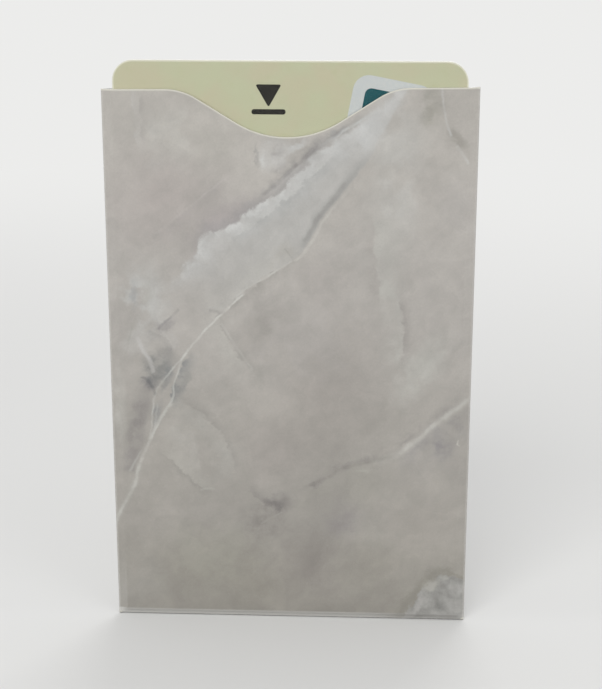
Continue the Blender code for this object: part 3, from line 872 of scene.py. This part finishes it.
def lay_band(colour, point, rough, fine):
    along, under_top = off_curve(rough, BAND_TOP)
    foot_along, over_foot = off_curve(fine, BAND_FOOT)
    ends = multiply(ramp(along, -0.02, 0.20), ramp(along, 1.0, 0.75, 0.7, 1.0))
    inside = multiply(ramp(under_top, 0.45, -0.45), ramp(over_foot, -0.15, 0.35), ends)
    colour = lay(colour, multiply(inside, ramp(along, 0.0, 0.45, 0.5, 0.85)), 186, 185, 181)
    puffs = noise(point, 0.30, 6.0, 0.6)
    ridge = multiply(ramp(under_top, -5.0, -0.4), inside, ramp(puffs, 0.30, 0.62, 0.35, 0.85))
    colour = lay(colour, ridge, 199, 199, 196)
    rim = multiply(ramp(under_top, -1.7, -0.3), inside, ramp(puffs, 0.40, 0.60, 0.1, 0.9))
    colour = lay(colour, multiply(rim, ramp(along, 0.85, 0.35, 0.3, 1.0)), 208, 208, 205)
    step = multiply(ramp(over_foot, 1.8, 0.1), inside, ramp(foot_along, 0.38, 0.50))
    colour = lay(colour, multiply(step, ramp(foot_along, 0.86, 0.62), 0.7), 154, 153, 150)
    shadow = multiply(ramp(under_top, 2.2, 0.2), ramp(under_top, -0.2, 0.4))
    shadow = multiply(shadow, ramp(along, 0.12, 0.30), ramp(along, 0.80, 0.6), 0.5)
    return lay(colour, shadow, 150, 147, 148)


print("Band of", len(BAND_TOP) + len(BAND_FOOT), "border points")

# %% [markdown]
# Puffs of cloud lie in some areas. One noise makes all their outlines, and each area lets a part of it show.

# %% Puffs of cloud
# Tint, strength, centre, half sizes, and the turn in degrees where there is one
PUFF_AREAS = [
    ((198, 198, 194), 0.85, (-24.4, 54.5), (7.5, 8.5)),
    ((192, 190, 185), 0.55, (-24.6, 47), (4.5, 4.5)),
    ((192, 190, 184), 0.4, (-26.5, 64), (4, 6)),
    ((188, 185, 178), 0.6, (-13.5, 30), (8, 9)),
    ((190, 188, 181), 0.45, (-11.5, 47), (5, 7), -30),
    ((200, 200, 197), 0.6, (-2, 78), (4.5, 3.5), 20),
    ((204, 205, 203), 0.6, (12, 81.5), (8, 3.6), 45),
    ((196, 195, 190), 0.5, (16, 75), (6, 14)),
    ((194, 193, 186), 0.6, (21, 44), (9, 4), 56),
    ((194, 192, 185), 0.5, (-18, 81), (9, 7)),
    ((168, 166, 156), 0.45, (-14, 12), (13, 9), 20),
    ((172, 169, 161), 0.45, (14, 19), (9, 8)),
    ((184, 180, 175), 0.4, (2, 48), (12, 10)),
]


def lay_puffs(colour, point, fluffy):
    billow = noise(point, 0.13, 6.0, 0.52)
    puff = multiply(ramp(billow, 0.43, 0.56), ramp(billow, 0.76, 0.56, 0.4, 1.0))
    return lay_spots(colour, fluffy, PUFF_AREAS, 0.2, puff)


print(len(PUFF_AREAS), "areas of puffs")

# %% [markdown]
# Small clouds and smudges come next, then the veins on top. Each row of a table is one feature. A vein is a
# pale line, sometimes with a darker line of shadow beside it.

# %% Clouds, smudges and veins
# Tint, strength, width of the shade (negative on the right), points from one end to the other. A row without
# points is the other side of the line above it.
SIDES = [
    ((192, 190, 186), 0.6, 2, (-22.2, 49.5), (-20.3, 48.6), (-18.8, 47.2), (-18.6, 45.6)),
    ((148, 146, 145), 0.5, -1.8),
    ((134, 137, 137), 0.65, 2.4, (-15.6, 46), (-17.6, 43.2), (-18.6, 40.6), (-18.8, 36.6)),
    ((184, 182, 175), 0.55, -5, (-19.4, 38.6), (-15.4, 36.6), (-12.6, 34.2), (-10.2, 30.6), (-9, 25)),
    ((156, 152, 147), 0.5, 1.8),
    ((182, 180, 172), 0.55, 3.5, (-21.4, 29.6), (-17.2, 25.8), (-15.2, 23.8), (-12.2, 22)),
    ((148, 145, 139), 0.5, -1.5),
    ((186, 184, 177), 0.6, -4.5, (-12.4, 53.4), (-10.8, 50.4), (-8.8, 46.8), (-5, 41.6)),
    ((158, 155, 149), 0.45, 2.2),
    ((191, 190, 183), 0.6, 5, (13, 69), (13.4, 61), (14.8, 54)),
    ((168, 162, 157), 0.4, -2.4),
    ((191, 190, 183), 0.6, -4, (16.2, 59), (17.8, 50.4), (17.4, 43)),
    ((156, 151, 147), 0.45, 2, (16.9, 56), (17.9, 50.4), (17.5, 43.6)),
    ((170, 167, 158), 0.4, -5, (-2, 18.8), (1.6, 21.6), (5, 24.2), (8.8, 26.8), (19, 29.8)),
    ((140, 136, 133), 0.3, 2.4, (-7.6, 23), (-4, 20.8), (-1.6, 19.4)),
    ((150, 145, 142), 0.55, 1.8, (16.4, 28.8), (20, 32.2), (22.6, 34.4), (28.6, 39.4)),
    ((152, 149, 147), 0.6, -7, (16.4, 27.8), (20, 31.4), (23, 34), (30, 38.8)),
    ((192, 190, 185), 0.5, 1.8, (-24.1, 89), (-23.8, 83), (-23.2, 77.4)),
    ((166, 160, 156), 0.4, 1.8, (-22.4, 88.4), (-22.9, 83), (-22.4, 77.8)),
    ((192, 190, 183), 0.55, 5, (-13.5, 50), (-7, 56.3), (-3.2, 59), (2.4, 62.4)),
    ((152, 149, 143), 0.5, -2.6, (-13.5, 49.8), (-7, 56.1), (-3.2, 58.8), (2.4, 62.2)),
    ((176, 170, 167), 0.45, -3, (-22, 64), (-16, 69.4), (-8.8, 75.4)),
    ((172, 173, 171), 0.5, -2.4, (-10, 63.8), (-5, 67.4), (-0.6, 70.8), (3.6, 74.8), (8.4, 79.4)),
    ((200, 200, 197), 0.45, 1.6),
    ((188, 184, 177), 0.55, -3, (0.4, 61), (4.2, 65.4), (5.3, 67.6), (9.6, 73), (13, 77.4)),
    ((148, 145, 142), 0.5, 1.6, (-4.4, 71.4), (-2.6, 72.9), (0.5, 75.8), (3.8, 78.6), (11.4, 84.2)),
    ((182, 181, 178), 0.5, -2.2),
    # On the back
    ((196, 197, 194), 0.7, -6.5, (-82, 17), (-71, 31), (-63, 50), (-56, 66), (-42, 92)),
    ((150, 147, 147), 0.45, 2.4),
    ((190, 188, 182), 0.5, 6, (-58, 3), (-50, 12), (-44, 26), (-33, 36)),
    ((152, 148, 145), 0.4, -2.4),
]
# Tint, strength, centre, half sizes, turn in degrees, size of the full core
SMALL_SPOTS = [
    ((202, 202, 198), 0.85, (-4.1, 76.9), (0.8, 2), -8, 0.2),
    ((148, 146, 144), 0.65, (-5.1, 77.6), (0.4, 2.6), 3, 0.2),
    ((158, 154, 151), 0.6, (-1.7, 78.2), (1, 1.8), -25, 0.2),
    ((178, 174, 166), 0.55, (-1.2, 61.8), (4.8, 2.4), 32, 0.1),
    ((204, 204, 201), 0.85, (0.9, 78.9), (3, 0.9), 33, 0.2),
    ((150, 147, 145), 0.5, (-1.4, 76), (1.8, 1.4), 30, 0.1),
    ((160, 159, 156), 0.6, (7.8, 81.5), (6, 1.1), 34, 0.3),
    ((184, 182, 175), 0.5, (-22.2, 55.6), (1.3, 3), 0, 0.1),
    ((160, 163, 165), 0.5, (-24.6, 55.4), (1, 3.4), 0, 0.1),
    ((148, 144, 143), 0.65, (-19.6, 50.5), (2.4, 1.4), 20, 0.2),
    ((186, 183, 177), 0.7, (-19.4, 47.9), (2.6, 1.3), -12, 0.2),
    ((156, 154, 150), 0.6, (-19.8, 45.4), (2.4, 2.8), 30, 0.3),
    ((142, 142, 139), 0.8, (-21, 43.2), (3.2, 3.6), 0, 0.4),
    ((120, 122, 123), 0.8, (-22.6, 41), (1.9, 1.6), 10, 0.3),
    ((134, 137, 137), 0.6, (-19.8, 41.4), (0.9, 3.4), -25, 0.3),
    ((134, 136, 134), 0.65, (-17, 41), (1.1, 3), -22, 0.3),
    ((148, 150, 150), 0.55, (-21.4, 35.6), (1, 3.2), -12, 0.2),
    ((190, 188, 181), 0.6, (-27.4, 36.5), (1.5, 8.5), 0, 0.3),
    ((186, 184, 177), 0.5, (-18, 32), (2.2, 3.2), 20, 0.1),
    ((156, 153, 147), 0.5, (-4.2, 42.6), (3.4, 3.2), 0, 0.1),
    ((112, 108, 108), 0.75, (-1.9, 19.7), (1.2, 0.8), 10, 0.1),
    ((130, 126, 124), 0.5, (4.4, 24.3), (2, 0.8), 22, 0.1),
    ((138, 134, 131), 0.35, (8.6, 26.9), (3.4, 0.9), 22, 0.1),
    ((180, 179, 170), 0.7, (12, 26.5), (1.6, 0.5), 0, 0.2),
    ((140, 137, 139), 0.55, (24.6, 30.6), (2.8, 3), 0, 0.1),
    ((198, 196, 188), 0.9, (26.9, 31.2), (0.22, 0.5), 10, 0.5),
    ((192, 190, 184), 0.5, (-20.6, 81.6), (1.5, 1.6), 0, 0.1),
    ((186, 183, 178), 0.35, (-20.8, 76), (2.4, 1.4), 20, 0.1),
    ((146, 141, 139), 0.35, (-24, 35.2), (2.4, 8), -8, 0),
    ((146, 141, 139), 0.3, (-25.5, 28.8), (2.2, 5), -22, 0),
    ((124, 120, 118), 0.7, (-2.4, 20.3), (2.6, 1.2), -24, 0),
    ((128, 124, 121), 0.7, (-2, 20.4), (4.4, 2.6), 12, 0),
    ((144, 140, 137), 0.45, (13, 28.3), (4, 0.9), 12, 0),
    ((136, 132, 127), 0.7, (-3.4, 17), (5.5, 4.5), 0, 0),
    ((200, 200, 197), 0.45, (16, 86.4), (3.4, 2), 40, 0.1),
    ((162, 159, 150), 0.7, (21.8, 85.4), (2.6, 4.4), -8, 0.3),
    ((160, 156, 148), 0.6, (25.8, 80.2), (1.2, 4.4), 32, 0.3),
]
# Tint, strength, half width, points from one end to the other
VEINS = [
    ((146, 142, 139), 0.5, 2.1, (-22.6, 41.6), (-24.1, 35.8), (-25.2, 31.4), (-26.5, 25.4)),
    ((198, 199, 196), 0.6, 0.34, (4.4, 79.2), (8.6, 81.8), (12.8, 84.6)),
    ((204, 203, 197), 0.8, 0.3, (-17.6, 44.3), (-15.1, 47.8), (-10.2, 53.1), (-7, 56.1)),
    ((198, 197, 191), 0.65, 0.26, (-8.6, 55.2), (-6.6, 56.8), (-3.2, 58.9), (0.6, 61.3)),
    ((200, 200, 194), 0.6, 0.24, (-16.8, 45.3), (-19.3, 42.6), (-21.6, 39), (-22.1, 35.9), (-22.7, 31.6)),
    ((196, 196, 190), 0.65, 0.26, (-17.3, 44.6), (-18.6, 40.6), (-18.8, 38.4), (-20.1, 36.1), (-22.7, 31.3)),
    ((198, 197, 190), 0.6, 0.46, (-18.8, 37.6), (-20.1, 36.1), (-21.6, 33.6), (-22.9, 31)),
    ((200, 199, 192), 0.68, 0.42, (-22.2, 32.2), (-24.5, 26.9), (-25.7, 22.6), (-26.8, 20.8), (-29.4, 15.4)),
    ((190, 189, 182), 0.35, 0.8, (-24.6, 27.4), (-25.7, 22.8), (-26.9, 20.6), (-30, 14.4)),
    ((184, 183, 178), 0.5, 0.3, (-24, 29.6), (-25.2, 27.4), (-26.3, 25.6)),
    ((190, 189, 184), 0.45, 0.22, (-21.4, 37.6), (-21.8, 34), (-22.4, 32)),
    ((102, 104, 106), 0.5, 0.4, (-24, 41.8), (-23, 41.4), (-22.2, 40.4), (-21.6, 38.8)),
    ((200, 198, 195), 0.6, 0.55, (-24.4, 48.6), (-23.3, 46.2), (-22.4, 44.8), (-21.9, 42.4)),
    ((198, 197, 191), 0.6, 0.52, (28.6, 38.9), (25.4, 36.4), (22.3, 33.8), (20.9, 32.4), (17.4, 29.4)),
    ((190, 188, 181), 0.4, 1, (28.6, 38.9), (25.4, 36.4), (22.3, 33.8), (18.4, 30.2), (13, 27.6)),
    ((186, 185, 177), 0.6, 0.28, (-14.7, 22.6), (-13.6, 22.9), (-12.2, 22.8)),
    ((190, 188, 182), 0.4, 0.34, (-11, 51.2), (-8.4, 47), (-5.8, 43)),
    ((192, 188, 183), 0.45, 0.3, (-16.2, 69), (-13.4, 71.4), (-9.6, 74.4)),
    ((188, 184, 179), 0.35, 0.35, (-20.8, 65.4), (-18.4, 67.4), (-15.6, 69.6)),
    ((196, 195, 191), 0.75, 0.3, (23, 88.4), (23.6, 84), (24.6, 80.8)),
    ((196, 195, 190), 0.65, 0.36, (25.4, 79.6), (26.4, 78.2), (27.4, 76.6)),
    ((198, 196, 189), 0.6, 0.34, (0.4, 61.2), (2.4, 62.8), (4.2, 65.6), (5.3, 67.8), (7.7, 70.7),
     (9.6, 73.2)),
    ((146, 143, 139), 0.38, 0.5, (2, 64), (3.2, 65.9), (4.4, 68.2), (6.8, 71.2), (8.8, 73.9)),
    ((140, 137, 130), 0.28, 0.42, (2, 23.4), (4.8, 24.6), (6.8, 25.6), (8.2, 26.7), (11.2, 27.5), (16.6, 29)),
    ((154, 151, 146), 0.35, 0.2, (-0.9, 63.2), (-0.2, 62.4), (0.4, 61.6)),
    ((138, 135, 133), 0.52, 0.5, (-4.4, 71.4), (-2.6, 72.9), (0.5, 75.8), (3.8, 78.6), (8, 81.8)),
    ((134, 132, 132), 0.45, 0.34, (-21, 49.8), (-19.4, 51.4), (-17.4, 53.2)),
    ((150, 147, 144), 0.5, 0.45, (-12.8, 53), (-11.2, 52.8), (-10.2, 52.8)),
    ((186, 185, 180), 0.5, 0.22, (-13.4, 53.4), (-11.6, 53.6), (-10.2, 53.4)),
    ((168, 166, 158), 0.4, 0.22, (-4.8, 16.8), (-3, 18), (-1.2, 19)),
    ((166, 164, 155), 0.4, 0.35, (-23.4, 11.6), (-20, 14), (-15, 13.2), (-9, 15.8)),
    ((172, 170, 162), 0.4, 0.28, (-26.4, 44.6), (-25.6, 48.2), (-24.4, 51.8)),
    # On the back and on the flaps
    ((200, 199, 192), 0.6, 0.4, (-28.4, 17.4), (-31.5, 11.2), (-34.6, 6), (-38, -1)),
    ((202, 201, 195), 0.7, 0.36, (-87, 75), (-78, 67.5), (-70, 61), (-61, 47), (-52, 41.5), (-43, 27)),
    ((196, 195, 190), 0.55, 0.28, (-70.5, 61.5), (-66, 52), (-64, 42), (-58, 31)),
    ((196, 195, 190), 0.5, 0.26, (-52.5, 41.8), (-46.5, 42.5), (-40.5, 46), (-33, 46.5)),
    ((198, 197, 191), 0.6, 0.46, (28.3, 38.7), (33, 42), (37.5, 44.5), (43.5, 50)),
    ((190, 189, 183), 0.5, 0.35, (-20, -16.5), (-8, -9), (4, -7.5), (16, -1)),
]


def lay_small_features(colour, point, rough, fine):
    patch = ramp(noise(point, 0.45, 3.0), 0.35, 0.65, 0.5, 1.15)
    colour = lay_lines(colour, rough, SIDE, SIDES, patch)
    colour = lay_spots(colour, rough, SMALL_SPOTS, patch=patch)
    return lay_lines(colour, fine, LINE, VEINS, patch)


print(len(SMALL_SPOTS), "small spots and", len(VEINS), "veins")

# %% [markdown]
# In the bottom right corner a pale, cool cloud cuts in, with a ragged outline. It is a curve's inner side,
# and lighter and darker puffs lie inside it.

# %% The cloud in the corner
CLOUD_RIM = [(17.8, -2), (19, 1), (20.9, 4), (22.9, 6.8), (24.6, 8.2), (26.6, 8.3), (29.5, 6.4)]
# Tint, strength, centre, half sizes, turn in degrees, size of the full core
CLOUD_PUFFS = [
    ((190, 188, 180), 0.8, (23.4, 6.4), (2, 1.5), 40, 0.2),
    ((186, 185, 178), 0.7, (25.4, 7.8), (1.6, 0.8), 10, 0.2),
    ((190, 188, 184), 0.75, (20.9, 2.6), (0.9, 3.4), -24, 0.2),
    ((126, 126, 122), 0.45, (24.6, 2.4), (1.9, 1.4), 0, 0.1),
    ((186, 185, 181), 0.6, (27.9, 5.4), (0.6, 1.6), 20, 0.1),
    ((132, 132, 129), 0.4, (28, 0.9), (1.4, 1), 0, 0.1),
]


def lay_corner_cloud(colour, point, rough):
    inwards = off_curve(rough, CLOUD_RIM)[1]
    around = ramp(compute("ABSOLUTE", compute("SUBTRACT", inwards, 0.8)), 1.5, 0.0)
    colour = lay(colour, multiply(around, 0.35), 130, 129, 117)
    billow = noise(point, 0.28, 6.0, 0.6)
    puffy = mix(ramp(billow, 0.3, 0.7), srgb(146, 145, 141), srgb(178, 177, 173))
    colour = mix(multiply(ramp(inwards, 0.25, -0.35), 0.9), colour, puffy)
    return lay_spots(colour, rough, CLOUD_PUFFS)


print(len(CLOUD_PUFFS), "puffs in the corner cloud")

# %% [markdown]
# The rest of the sheet has no pictured pattern, so there the veins come from noise: a vein lies where a slow
# noise passes its middle value. Everywhere, a slanting mottle and a fine speckle keep the tones alive.

# %% Free veins, mottle and speckle
CLOUD_LAYERS = (0.40, 0.50, 0.60)


def lay_free_veins(colour, point, wandering):
    away = compute("ABSOLUTE", compute("SUBTRACT", noise(wandering, 0.035, 1.0), 0.5))
    x, z, _ = add_node("SeparateXYZ", {0: point}).outputs
    off_front = ramp(compute("ABSOLUTE", x), FOLD_X + 0.2, FOLD_X + 4.0)
    under = ramp(z, FOLD_Z - 0.4, FOLD_Z - 3.0)
    patchy = ramp(noise(point, 0.09), 0.42, 0.62)
    free = multiply(compute("MAXIMUM", off_front, under), patchy)
    colour = lay(colour, multiply(ramp(away, 0.05, 0.0), free, 0.25), 144, 142, 139)
    return lay(colour, multiply(ramp(away, 0.004, 0.0), free, 0.3), 204, 203, 197)


def lay_mottle(colour, point, broad):
    clouds = ramp(noise(broad, 0.11, 8.0, 0.64), 0.3, 0.7, 0.94, 1.06)
    layers = noise(broad, 0.07, 6.0, 0.55)
    steps = [ramp(layers, edge - 0.01, edge + 0.03, 0.985, 1.015) for edge in CLOUD_LAYERS]
    inputs = {0: point, 2: (0, 0, radians(42)), 3: (1.6, 1.0, 1.0)}
    slanting = add_node("Mapping", inputs, vector_type="TEXTURE").outputs[0]
    mottle = ramp(noise(slanting, 0.5, 5.0, 0.6), 0.25, 0.75, 0.965, 1.035)
    speckle = ramp(noise(point, 3.2, 2.0, 0.6), 0.2, 0.8, 0.975, 1.025)
    tone = multiply(clouds, *steps, mottle, speckle)
    grey = add_node("CombineColor", {0: tone, 1: tone, 2: tone}).outputs[0]
    return mix(1.0, colour, grey, blend="MULTIPLY")


# %% [markdown]
# ## Finish of the printed paper
# The coated paper has a satin sheen. Along its folds the coating is cracked and paler, which also stands in
# for the highlight on the rounded folds. The slopes beside the lower and left folds get a pale tint, a
# painted highlight. Along the cut the bare core shows as a light rim, partly a painted highlight of the cut
# edge. All of these come from what was kept on the flat blank.

# %% Wear along folds and cuts, and painted highlights


def lay_wear_and_painted_highlights(colour, point):
    x, z, _ = add_node("SeparateXYZ", {0: point}).outputs
    to_cut = add_node("Attribute", {}, point.id_data, attribute_name="to_cut").outputs["Fac"]
    above_flap = ramp(z, LOW_FLAP_START - 0.1, LOW_FLAP_START + 0.1)
    left = multiply(ramp(x, -FOLD_X + 0.10, -FOLD_X - 0.10), ramp(x, BACK_START - 0.1, BACK_START + 0.1))
    right = multiply(ramp(x, FOLD_X - 0.05, FOLD_X + 0.15), ramp(x, FLAP_START + 0.1, FLAP_START - 0.1))
    foot = multiply(ramp(z, FOLD_Z + 0.05, FOLD_Z - 0.15), above_flap)
    folds = compute("MAXIMUM", compute("MAXIMUM", left, right), foot)
    folds = multiply(folds, ramp(noise(point, 1.6, 3.0, 0.6), 0.2, 0.7, 0.35, 0.75))
    # Pale fold wear, which also stands in for the highlight on the rounded folds
    colour = lay(colour, folds, 196, 194, 188)
    # Painted highlight: a pale tint on the slopes beside the lower and left folds
    low_slope_highlight = multiply(ramp(z, POCKET_Z + 0.1, POCKET_Z - 0.25), above_flap, ramp(x, BACK_START, -FOLD_X))
    low_slope_highlight = multiply(low_slope_highlight, ramp(x, 12.0, 22.0, 1.0, 0.3))
    left_slope_highlight = multiply(ramp(x, -POCKET_X - 0.1, -POCKET_X - 0.35), ramp(z, 14.0, 3.0), 0.15)
    slopes = multiply(compute("MAXIMUM", low_slope_highlight, left_slope_highlight), 0.85)
    colour = lay(colour, slopes, 212, 211, 206)
    # A pale rim along the cut: bare core, and partly a painted highlight of the cut edge
    return lay(colour, multiply(ramp(to_cut, 0.30, 0.08), 0.9), 222, 220, 208)


# %% Printed paper


def printed_paper():
    made, shader = new_material("marble paper", Roughness=0.45)
    point = add_node("Attribute", {}, shader.id_data, attribute_name="blank").outputs["Vector"]
    broad = drift(point, 0.10, 7.0)
    rough = drift(point, 0.45, 2.4)
    fine = drift(point, 0.55, 0.5)
    colour = lay_spots(ground_colour(broad), broad, BROAD_TINTS)
    colour = lay_band(colour, point, rough, fine)
    colour = lay_puffs(colour, point, drift(point, 0.30, 3.6))
    colour = lay_corner_cloud(colour, point, rough)
    colour = lay_small_features(colour, point, rough, fine)
    colour = lay_free_veins(colour, point, drift(point, 0.12, 9.0))
    colour = lay_mottle(colour, point, broad)
    colour = lay_wear_and_painted_highlights(colour, point)
    grain = use_group(SHEET_GRAIN, Point=object_point(shader), Fine=5000.0, Coarse=400.0)
    roughness = shine(grain["Tone"], 0.40, 0.52)
    connect(shader, Base_Color=colour, Roughness=roughness, Normal=bump(grain["Height"], 0.004))
    print("Marble paper:", len(made.node_tree.nodes), "nodes")
    return made


marble = printed_paper()
fibres = grained("paper core", 9000.0, 1500.0, (204, 201, 190), (222, 219, 208), 0.02, Roughness=0.85)

# %% [markdown]
# The foil on the inside is bright metal. It keeps fine creases from folding, and a slow unevenness that
# breaks up its reflections.

# %% Foil


def foil():
    made, shader = new_material("aluminium foil", Metallic=1.0)
    point = object_point(shader)
    grain = use_group(SHEET_GRAIN, Point=point, Fine=1800.0, Coarse=220.0)
    creases = add_node("TexVoronoi", {"Vector": point, "Scale": 700.0}, feature="DISTANCE_TO_EDGE").outputs[0]
    relief = bump(ramp(creases, 0.0, 0.06), 0.006, Normal=bump(grain["Height"], 0.01))
    colour = mix(grain["Tone"], srgb(222, 222, 224), srgb(236, 236, 238))
    connect(shader, Base_Color=colour, Roughness=shine(grain["Tone"], 0.28, 0.42), Normal=relief)
    return made


# %% Make the sleeve from its two layers
foil_finish = foil()
sleeve = fold_layer("printed_sleeve", FOIL + BOND, LAMINATE, "marble_paper", marble, fibres)
lining = fold_layer("foil_inside", 0.0, FOIL, "aluminium_foil", foil_finish, foil_finish)
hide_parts("sleeve_paper")
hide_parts("foil_lining")
blank.free()

# %% [markdown]
# ## The card
# The card is a stack of laminated sheets with rounded corners. Its packed layers have the right shape and
# stay. The front sheet carries a pale olive print, and its rim is lighter: a painted highlight along the
# punched edge. The distance to that edge comes from a formula for a rounded rectangle.

# %% Node group for the distance to the card's edge
CARD_HALF_X = (card_high.x - card_low.x) / 2
CARD_HALF_Z = (card_high.z - card_low.z) / 2
CARD_MIDDLE_Z = (card_high.z + card_low.z) / 2
CARD_CORNER = 3.18 * MM


def card_edge_group():
    tree, point = new_group("card edge", Point=None)
    x, _, z = add_node("SeparateXYZ", {0: point}).outputs
    over_x = compute("SUBTRACT", compute("ABSOLUTE", x), CARD_HALF_X - CARD_CORNER)
    upwards = compute("ABSOLUTE", compute("SUBTRACT", z, CARD_MIDDLE_Z))
    over_z = compute("SUBTRACT", upwards, CARD_HALF_Z - CARD_CORNER)
    corner = {0: compute("MAXIMUM", over_x, 0.0), 1: compute("MAXIMUM", over_z, 0.0)}
    outer = vector_math("LENGTH", add_node("CombineXYZ", corner).outputs[0])
    inner = compute("MINIMUM", compute("MAXIMUM", over_x, over_z), 0.0)
    return finish_group(tree, Inwards=compute("SUBTRACT", CARD_CORNER, compute("ADD", outer, inner)))


CARD_EDGE = card_edge_group()

# %% Printed face of the card


def card_print():
    made, shader = new_material("card print", Roughness=0.5, Coat_Weight=0.25, Coat_Roughness=0.25)
    point = object_point(shader)
    grain = use_group(SHEET_GRAIN, Point=point, Fine=2600.0, Coarse=130.0)
    colour = mix(ramp(grain["Tone"], 0.35, 0.65), srgb(194, 190, 160), srgb(191, 194, 161))
    speckle = noise(point, 900.0, flat=False)
    colour = lay(colour, ramp(speckle, 0.55, 0.8, 0.0, 0.25), 182, 186, 142)
    # A lighter rim along the punched edge, painted as the edge's highlight
    rim = ramp(use_group(CARD_EDGE, Point=point)[0], 0.30 * MM, 0.12 * MM)
    colour = lay(colour, rim, 222, 221, 202)
    connect(shader, Base_Color=colour, Normal=bump(grain["Height"], 0.006))
    return made


# %% [markdown]
# Inside the card and behind the back panel are pieces that nobody sees until the object is taken apart: the
# copper antenna, the moulded chip with its plated contacts, and the glue films. They get finishes as well.

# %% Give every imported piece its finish
film_tones = (232, 232, 224), (244, 244, 238)
film = grained("clear film", 2200.0, 160.0, *film_tones, 0.002, ("Tone", 0.16, 0.26), Alpha=0.01, IOR=1.5)
core = grained("card core", 3000.0, 300.0, (222, 221, 212), (236, 236, 230), 0.008, Roughness=0.55)
glue = grained("dried glue", 1500.0, 350.0, (214, 206, 178), (234, 228, 208), 0.01, Roughness=0.35)
moulding = grained("chip moulding", 14000.0, 1200.0, (38, 38, 41), (56, 56, 60), 0.012, Roughness=0.62)
copper = grained(
    "lacquered copper",
    9000.0,
    900.0,
    dark=(190, 108, 70),
    light=(226, 150, 104),
    gloss=("Height", 0.22, 0.36),
    Metallic=1.0,
    Coat_Weight=0.6,
    Coat_Roughness=0.15,
)
plating = grained(
    "plated strip",
    12000.0,
    1400.0,
    dark=(196, 190, 176),
    light=(216, 212, 200),
    relief=0.004,
    gloss=("Height", 0.25, 0.42),
    stretch=(1.0, 1.0, 0.05),
    Metallic=1.0,
)
FINISHES = {
    "card_front_overlay": film,
    "card_front_sheet": card_print(),
    "inlay_cover_sheet": core,
    "antenna_coil": copper,
    "chip_module_body": moulding,
    "chip_contact_inner": plating,
    "chip_contact_outer": plating,
    "inlay_base_sheet": core,
    "card_back_sheet": core,
    "card_back_overlay": film,
    "side_seam_glue": glue,
    "bottom_seam_glue": glue,
    "sleeve_paper": marble,
    "foil_lining": foil_finish,
}
for node_name, finish in FINISHES.items():
    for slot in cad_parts[node_name].material_slots:
        slot.material = finish
print(len(FINISHES), "packed pieces have their finishes")

# %% [markdown]
# ## Ink on the card
# Two plain marks lie on the front sheet, under the clear film. One is an arrow against a bar, which shows the
# way that the card goes in. The other is a bare teal panel with a pale rim, set askew and mostly behind the
# paper. Ink is a very thin solid here: a flat shape is made, its corners are rounded with a bevel, and it is
# extruded.

# %% Shapes of ink
INK = 0.006 * MM
INK_LIFT = 0.002 * MM
INK_CORNER_STEPS = 6


def ink_piece(name, bm, corner, place, turn, lift, depth, finish):
    """Rounds a flat shape, stands it upright on the front sheet and gives it the depth of ink."""
    rounding = {"segments": INK_CORNER_STEPS, "profile": 0.5, "affect": "VERTICES", "material": -1}
    bmesh.ops.bevel(bm, geom=bm.verts[:], offset=corner * MM, **rounding)
    bmesh.ops.rotate(bm, verts=bm.verts, matrix=Matrix.Rotation(turn, 3, "Z"), cent=(0, 0, 0))
    bmesh.ops.rotate(bm, verts=bm.verts, matrix=Matrix.Rotation(pi / 2, 3, "X"), cent=(0, 0, 0))
    spot = Vector((place[0] * MM, card_low.y - lift, place[1] * MM))
    bmesh.ops.translate(bm, verts=bm.verts, vec=spot)
    bmesh.ops.translate(bm, verts=list(double_faces(bm)), vec=(0, -depth, 0))
    bmesh.ops.recalc_face_normals(bm, faces=bm.faces)
    new_object(name, bm, "card", "card_print", finish)


def arrow_head(name, place, radius, corner, finish):
    bm = bmesh.new()
    bmesh.ops.create_circle(bm, cap_ends=True, segments=3, radius=radius * MM)
    ink_piece(name, bm, corner, place, pi, INK_LIFT, INK, finish)


def ink_panel(name, place, width, height, corner, lift, finish, turn=0.0):
    bm = bmesh.new()
    bmesh.ops.create_grid(bm, x_segments=1, y_segments=1, size=0.5)
    bmesh.ops.scale(bm, vec=(width * MM, height * MM, 1), verts=bm.verts)
    ink_piece(name, bm, corner, place, turn, lift, INK / 2, finish)


def ink(name, tint, thin_tint):
    looks = {"contrast": (0.35, 0.75), "Roughness": 0.5, "Specular_IOR_Level": 0.2}
    return grained(name, 6000.0, 1800.0, tint, thin_tint, 0.003, **looks)


# %% Arrow, bar and teal panel
MARK_X = -3.2
PANEL_PLACE = (15.0, 83.2)
PANEL_TURN = radians(-11)
dark_ink = ink("dark ink", (20, 19, 15), (34, 32, 26))
pale_ink = ink("pale ink", (200, 205, 204), (206, 209, 206))
teal_ink = ink("teal ink", (6, 76, 82), (20, 86, 92))

arrow_head("arrow_ink", (MARK_X, 87.4), 2.3, 0.35, dark_ink)
ink_panel("bar_ink", (MARK_X, 84.4), 5.2, 0.8, 0.38, INK_LIFT, dark_ink)
ink_panel("panel_rim_ink", PANEL_PLACE, 12.4, 12.4, 2.4, INK_LIFT, pale_ink, PANEL_TURN)
ink_panel("panel_ink", PANEL_PLACE, 8.6, 8.6, 1.0, INK_LIFT + INK / 2, teal_ink, PANEL_TURN)
